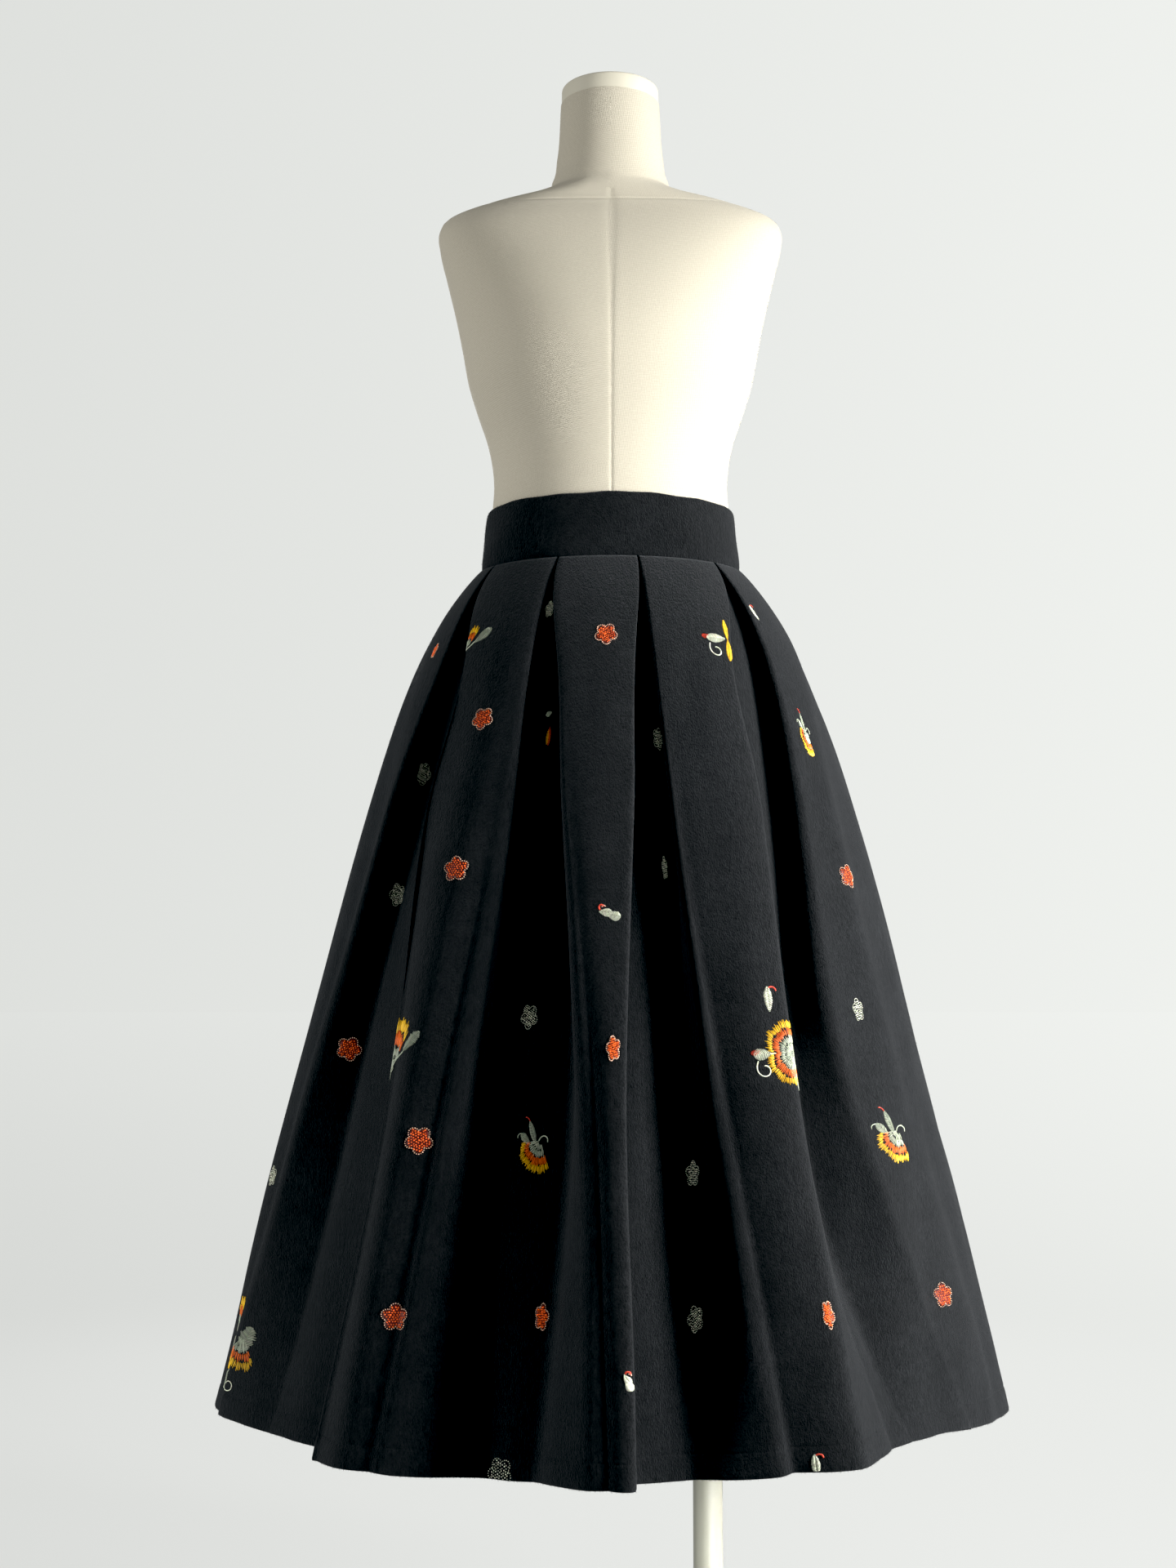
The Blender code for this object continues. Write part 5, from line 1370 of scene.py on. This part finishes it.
# Bars across the path, box by box: half sizes across, along the path and out of it.
def pathBars(places, ways, outs, sideways, halfAcross, halfAlong, halfOut):
    corners = [places + ways * along * halfAlong + outs * out * halfOut +
               np.array([1.0, 0, 0]) * (sideways + across * halfAcross)[:, None]
               for along in (-1, 1) for across, out in zipCorners]
    faces = [(0, 3, 2, 1), (4, 5, 6, 7), (0, 1, 5, 4), (1, 2, 6, 5), (2, 3, 7, 6), (3, 0, 4, 7)]
    return np.stack(corners, 1), repeatFaces(faces, len(places), 8)


# The zip: a flat tape down the path, and teeth at even steps that lean to each side in turn.
def makeZip():
    heights, depths = zipPath()
    line = np.column_stack([np.zeros_like(heights), depths, heights])
    length = runningLength(line)
    at = np.arange(zipStyle["pitch"], length[-1] - zipStyle["pitch"] / 2, zipStyle["pitch"] / 2)
    ways = unit(np.column_stack([np.interp(at, length, np.gradient(line[:, k], length)) for k in range(3)]))
    outs = np.cross(ways, np.array([1.0, 0, 0]))
    outs *= np.sign(outs[:, 1:2])
    flip = np.where(np.arange(len(at)) % 2, 1.0, -1.0)
    places = pointsAlong(line, at) + outs * zipStyle["toothOut"]
    teeth, faces = pathBars(places, -ways, outs, flip * zipStyle["stagger"], zipStyle["toothHalf"],
                            zipStyle["toothHeight"] / 2, zipStyle["toothDepth"])
    out = np.cross(unit(np.gradient(line, axis=0)), [1.0, 0, 0])
    out *= np.sign(out[:, 1:2])
    tape = np.stack([line + [across * zipStyle["halfWidth"], 0, 0] + out * step * zipStyle["tapeHalf"]
                     for across, step in zipCorners], 1)
    for name, points, shape, material in (("zipTape", tape, tubeFaces(len(line), 4), blackTape),
                                          ("zipTeeth", teeth, faces, blackEnamel)):
        standFor(newPiece(name, points, shape, material, sharp=30), "zip_coil")


makeZip()
for node in ("zip_slider", "zip_pull"):
    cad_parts[node].data.materials.clear()
    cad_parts[node].data.materials.append(blackEnamel)
print("zip made")


# Floor and light
# the floor's own colour is dark; nearGlow, farGlow and toTheRight set its painted glow
stage = {"size": 160.0, "below": 0.0003, "floor": (0.07, 0.07, 0.07), "nearGlow": 0.87, "farGlow": 0.98,
         "glowReach": 3.0, "back": (0.800, 0.815, 0.790), "toTheRight": 0.30, "room": 0.40}
# Each lamp's place, what it points at, its size in metres, its watts and its spread
lamps = {"windowLight": ((2.34, -1.14, 1.0), (0, 0, 0.65), (0.6, 1.0), 42, 80),
         "wallLight": ((-3.0, -1.05, 0.75), (0, 0, 0.6), (0.9, 1.0), 7, 70),
         "poleLight": ((0.55, -0.95, 0.10), (0.094, 0, 0.12), (0.1, 0.06), 0.12, 16),
         "backLight": ((-0.3, 3.0, 1.4), (0, 0, 0.8), (1.2, 1.2), 34, 110)}


# How bright the backdrop is towards a direction, painted lighter to the window side: 1 + a share x its part
# along X.
def backdropShade(tree, direction):
    parts = addNode(tree, "ShaderNodeSeparateXYZ", {0: direction}).outputs
    return mapRange(tree, parts["X"], -1.0, 1.0, 1 - stage["toTheRight"], 1 + stage["toTheRight"])


# A dark floor made pale by a painted glow, its emission, that grows with the distance from the stand
# until it meets the backdrop without a line, and is painted lighter to the window side: its direction is
# that of (x, y, reach), its share of the backdrop's light runs from near to far with 1 - the last part of
# that direction.
def makeStage():
    half = stage["size"] / 2
    points = [[x * half, y * half, -stage["below"]] for x, y in ((-1, -1), (1, -1), (1, 1), (-1, 1))]
    floorPaint, tree, shader = newMaterial("paintedGlowFloor", stage["floor"], 0.9, Specular_IOR_Level=0.0,
                                           Emission_Strength=1.0)
    place = addNode(tree, "ShaderNodeTexCoord").outputs["Object"]
    raised = calculate(tree, "ADD", place, (0.0, 0.0, stage["glowReach"]), kind="ShaderNodeVectorMath")
    direction = calculate(tree, "NORMALIZE", raised, kind="ShaderNodeVectorMath")
    parts = addNode(tree, "ShaderNodeSeparateXYZ", {0: direction}).outputs
    share = mapRange(tree, parts["Z"], 1.0, 0.0, stage["nearGlow"], stage["farGlow"])
    shade = calculate(tree, "MULTIPLY", share, backdropShade(tree, direction))
    glow = addNode(tree, "ShaderNodeVectorMath", {0: stage["back"], "Scale": shade}, operation="SCALE")
    tree.links.new(glow.outputs[0], shader.inputs["Emission Color"])
    floor = newPiece("floor", points, [[0, 1, 2, 3]], floorPaint)
    floor.visible_diffuse = False
    floor.visible_glossy = False


# A rectangular lamp, turned so that its face looks at its target.
def makeLight(name, place, target, size, power, spread):
    light = bpy.data.lights.new(name, "AREA")
    light.shape = "RECTANGLE"
    light.size, light.size_y = size
    light.energy = power
    light.spread = math.radians(spread)
    lamp = bpy.data.objects.new(name, light)
    bpy.context.scene.collection.objects.link(lamp)
    lamp.location = place
    lamp.rotation_euler = (Vector(target) - Vector(place)).to_track_quat("-Z", "Y").to_euler()


# The backdrop grows lighter towards the window, and the room itself is dimmer than it looks.
def makeWorld():
    world = bpy.data.worlds.new("studio")
    bpy.context.scene.world = world
    world.use_nodes = True
    tree = world.node_tree
    backdrop = tree.nodes["Background"]
    backdrop.inputs["Color"].default_value = (*stage["back"], 1.0)
    place = addNode(tree, "ShaderNodeTexCoord").outputs["Generated"]
    tree.links.new(backdropShade(tree, place), backdrop.inputs["Strength"])
    room = addNode(tree, "ShaderNodeBackground", {"Color": (1.0, 1.0, 1.0, 1.0), "Strength": stage["room"]})
    seen = addNode(tree, "ShaderNodeLightPath").outputs["Is Camera Ray"]
    choose = addNode(tree, "ShaderNodeMixShader", {0: seen, 1: room.outputs[0], 2: backdrop.outputs[0]})
    tree.links.new(choose.outputs[0], tree.nodes["World Output"].inputs["Surface"])


# The camera of the photograph's view; its frame is as high as the sensor.
def makeCamera():
    lens = bpy.data.cameras.new("camera")
    lens.sensor_fit = "VERTICAL"
    lens.sensor_height = view["sensor"]
    lens.lens = view["lens"]
    camera = bpy.data.objects.new("camera", lens)
    camera.location = view["place"]
    camera.rotation_euler = (math.radians(90 + view["pitch"]), 0, 0)
    bpy.context.scene.collection.objects.link(camera)
    bpy.context.scene.camera = camera


makeStage()
for name, settings in lamps.items():
    makeLight(name, *settings)
makeWorld()
makeCamera()
picture = bpy.context.scene.view_settings
picture.view_transform = "Standard"
picture.use_curve_mapping = True
picture.curve_mapping.black_level = (0.0112, 0.0095, 0.0091)   # the deepest folds print as black
picture.curve_mapping.update()
print("stage, lights and camera set")
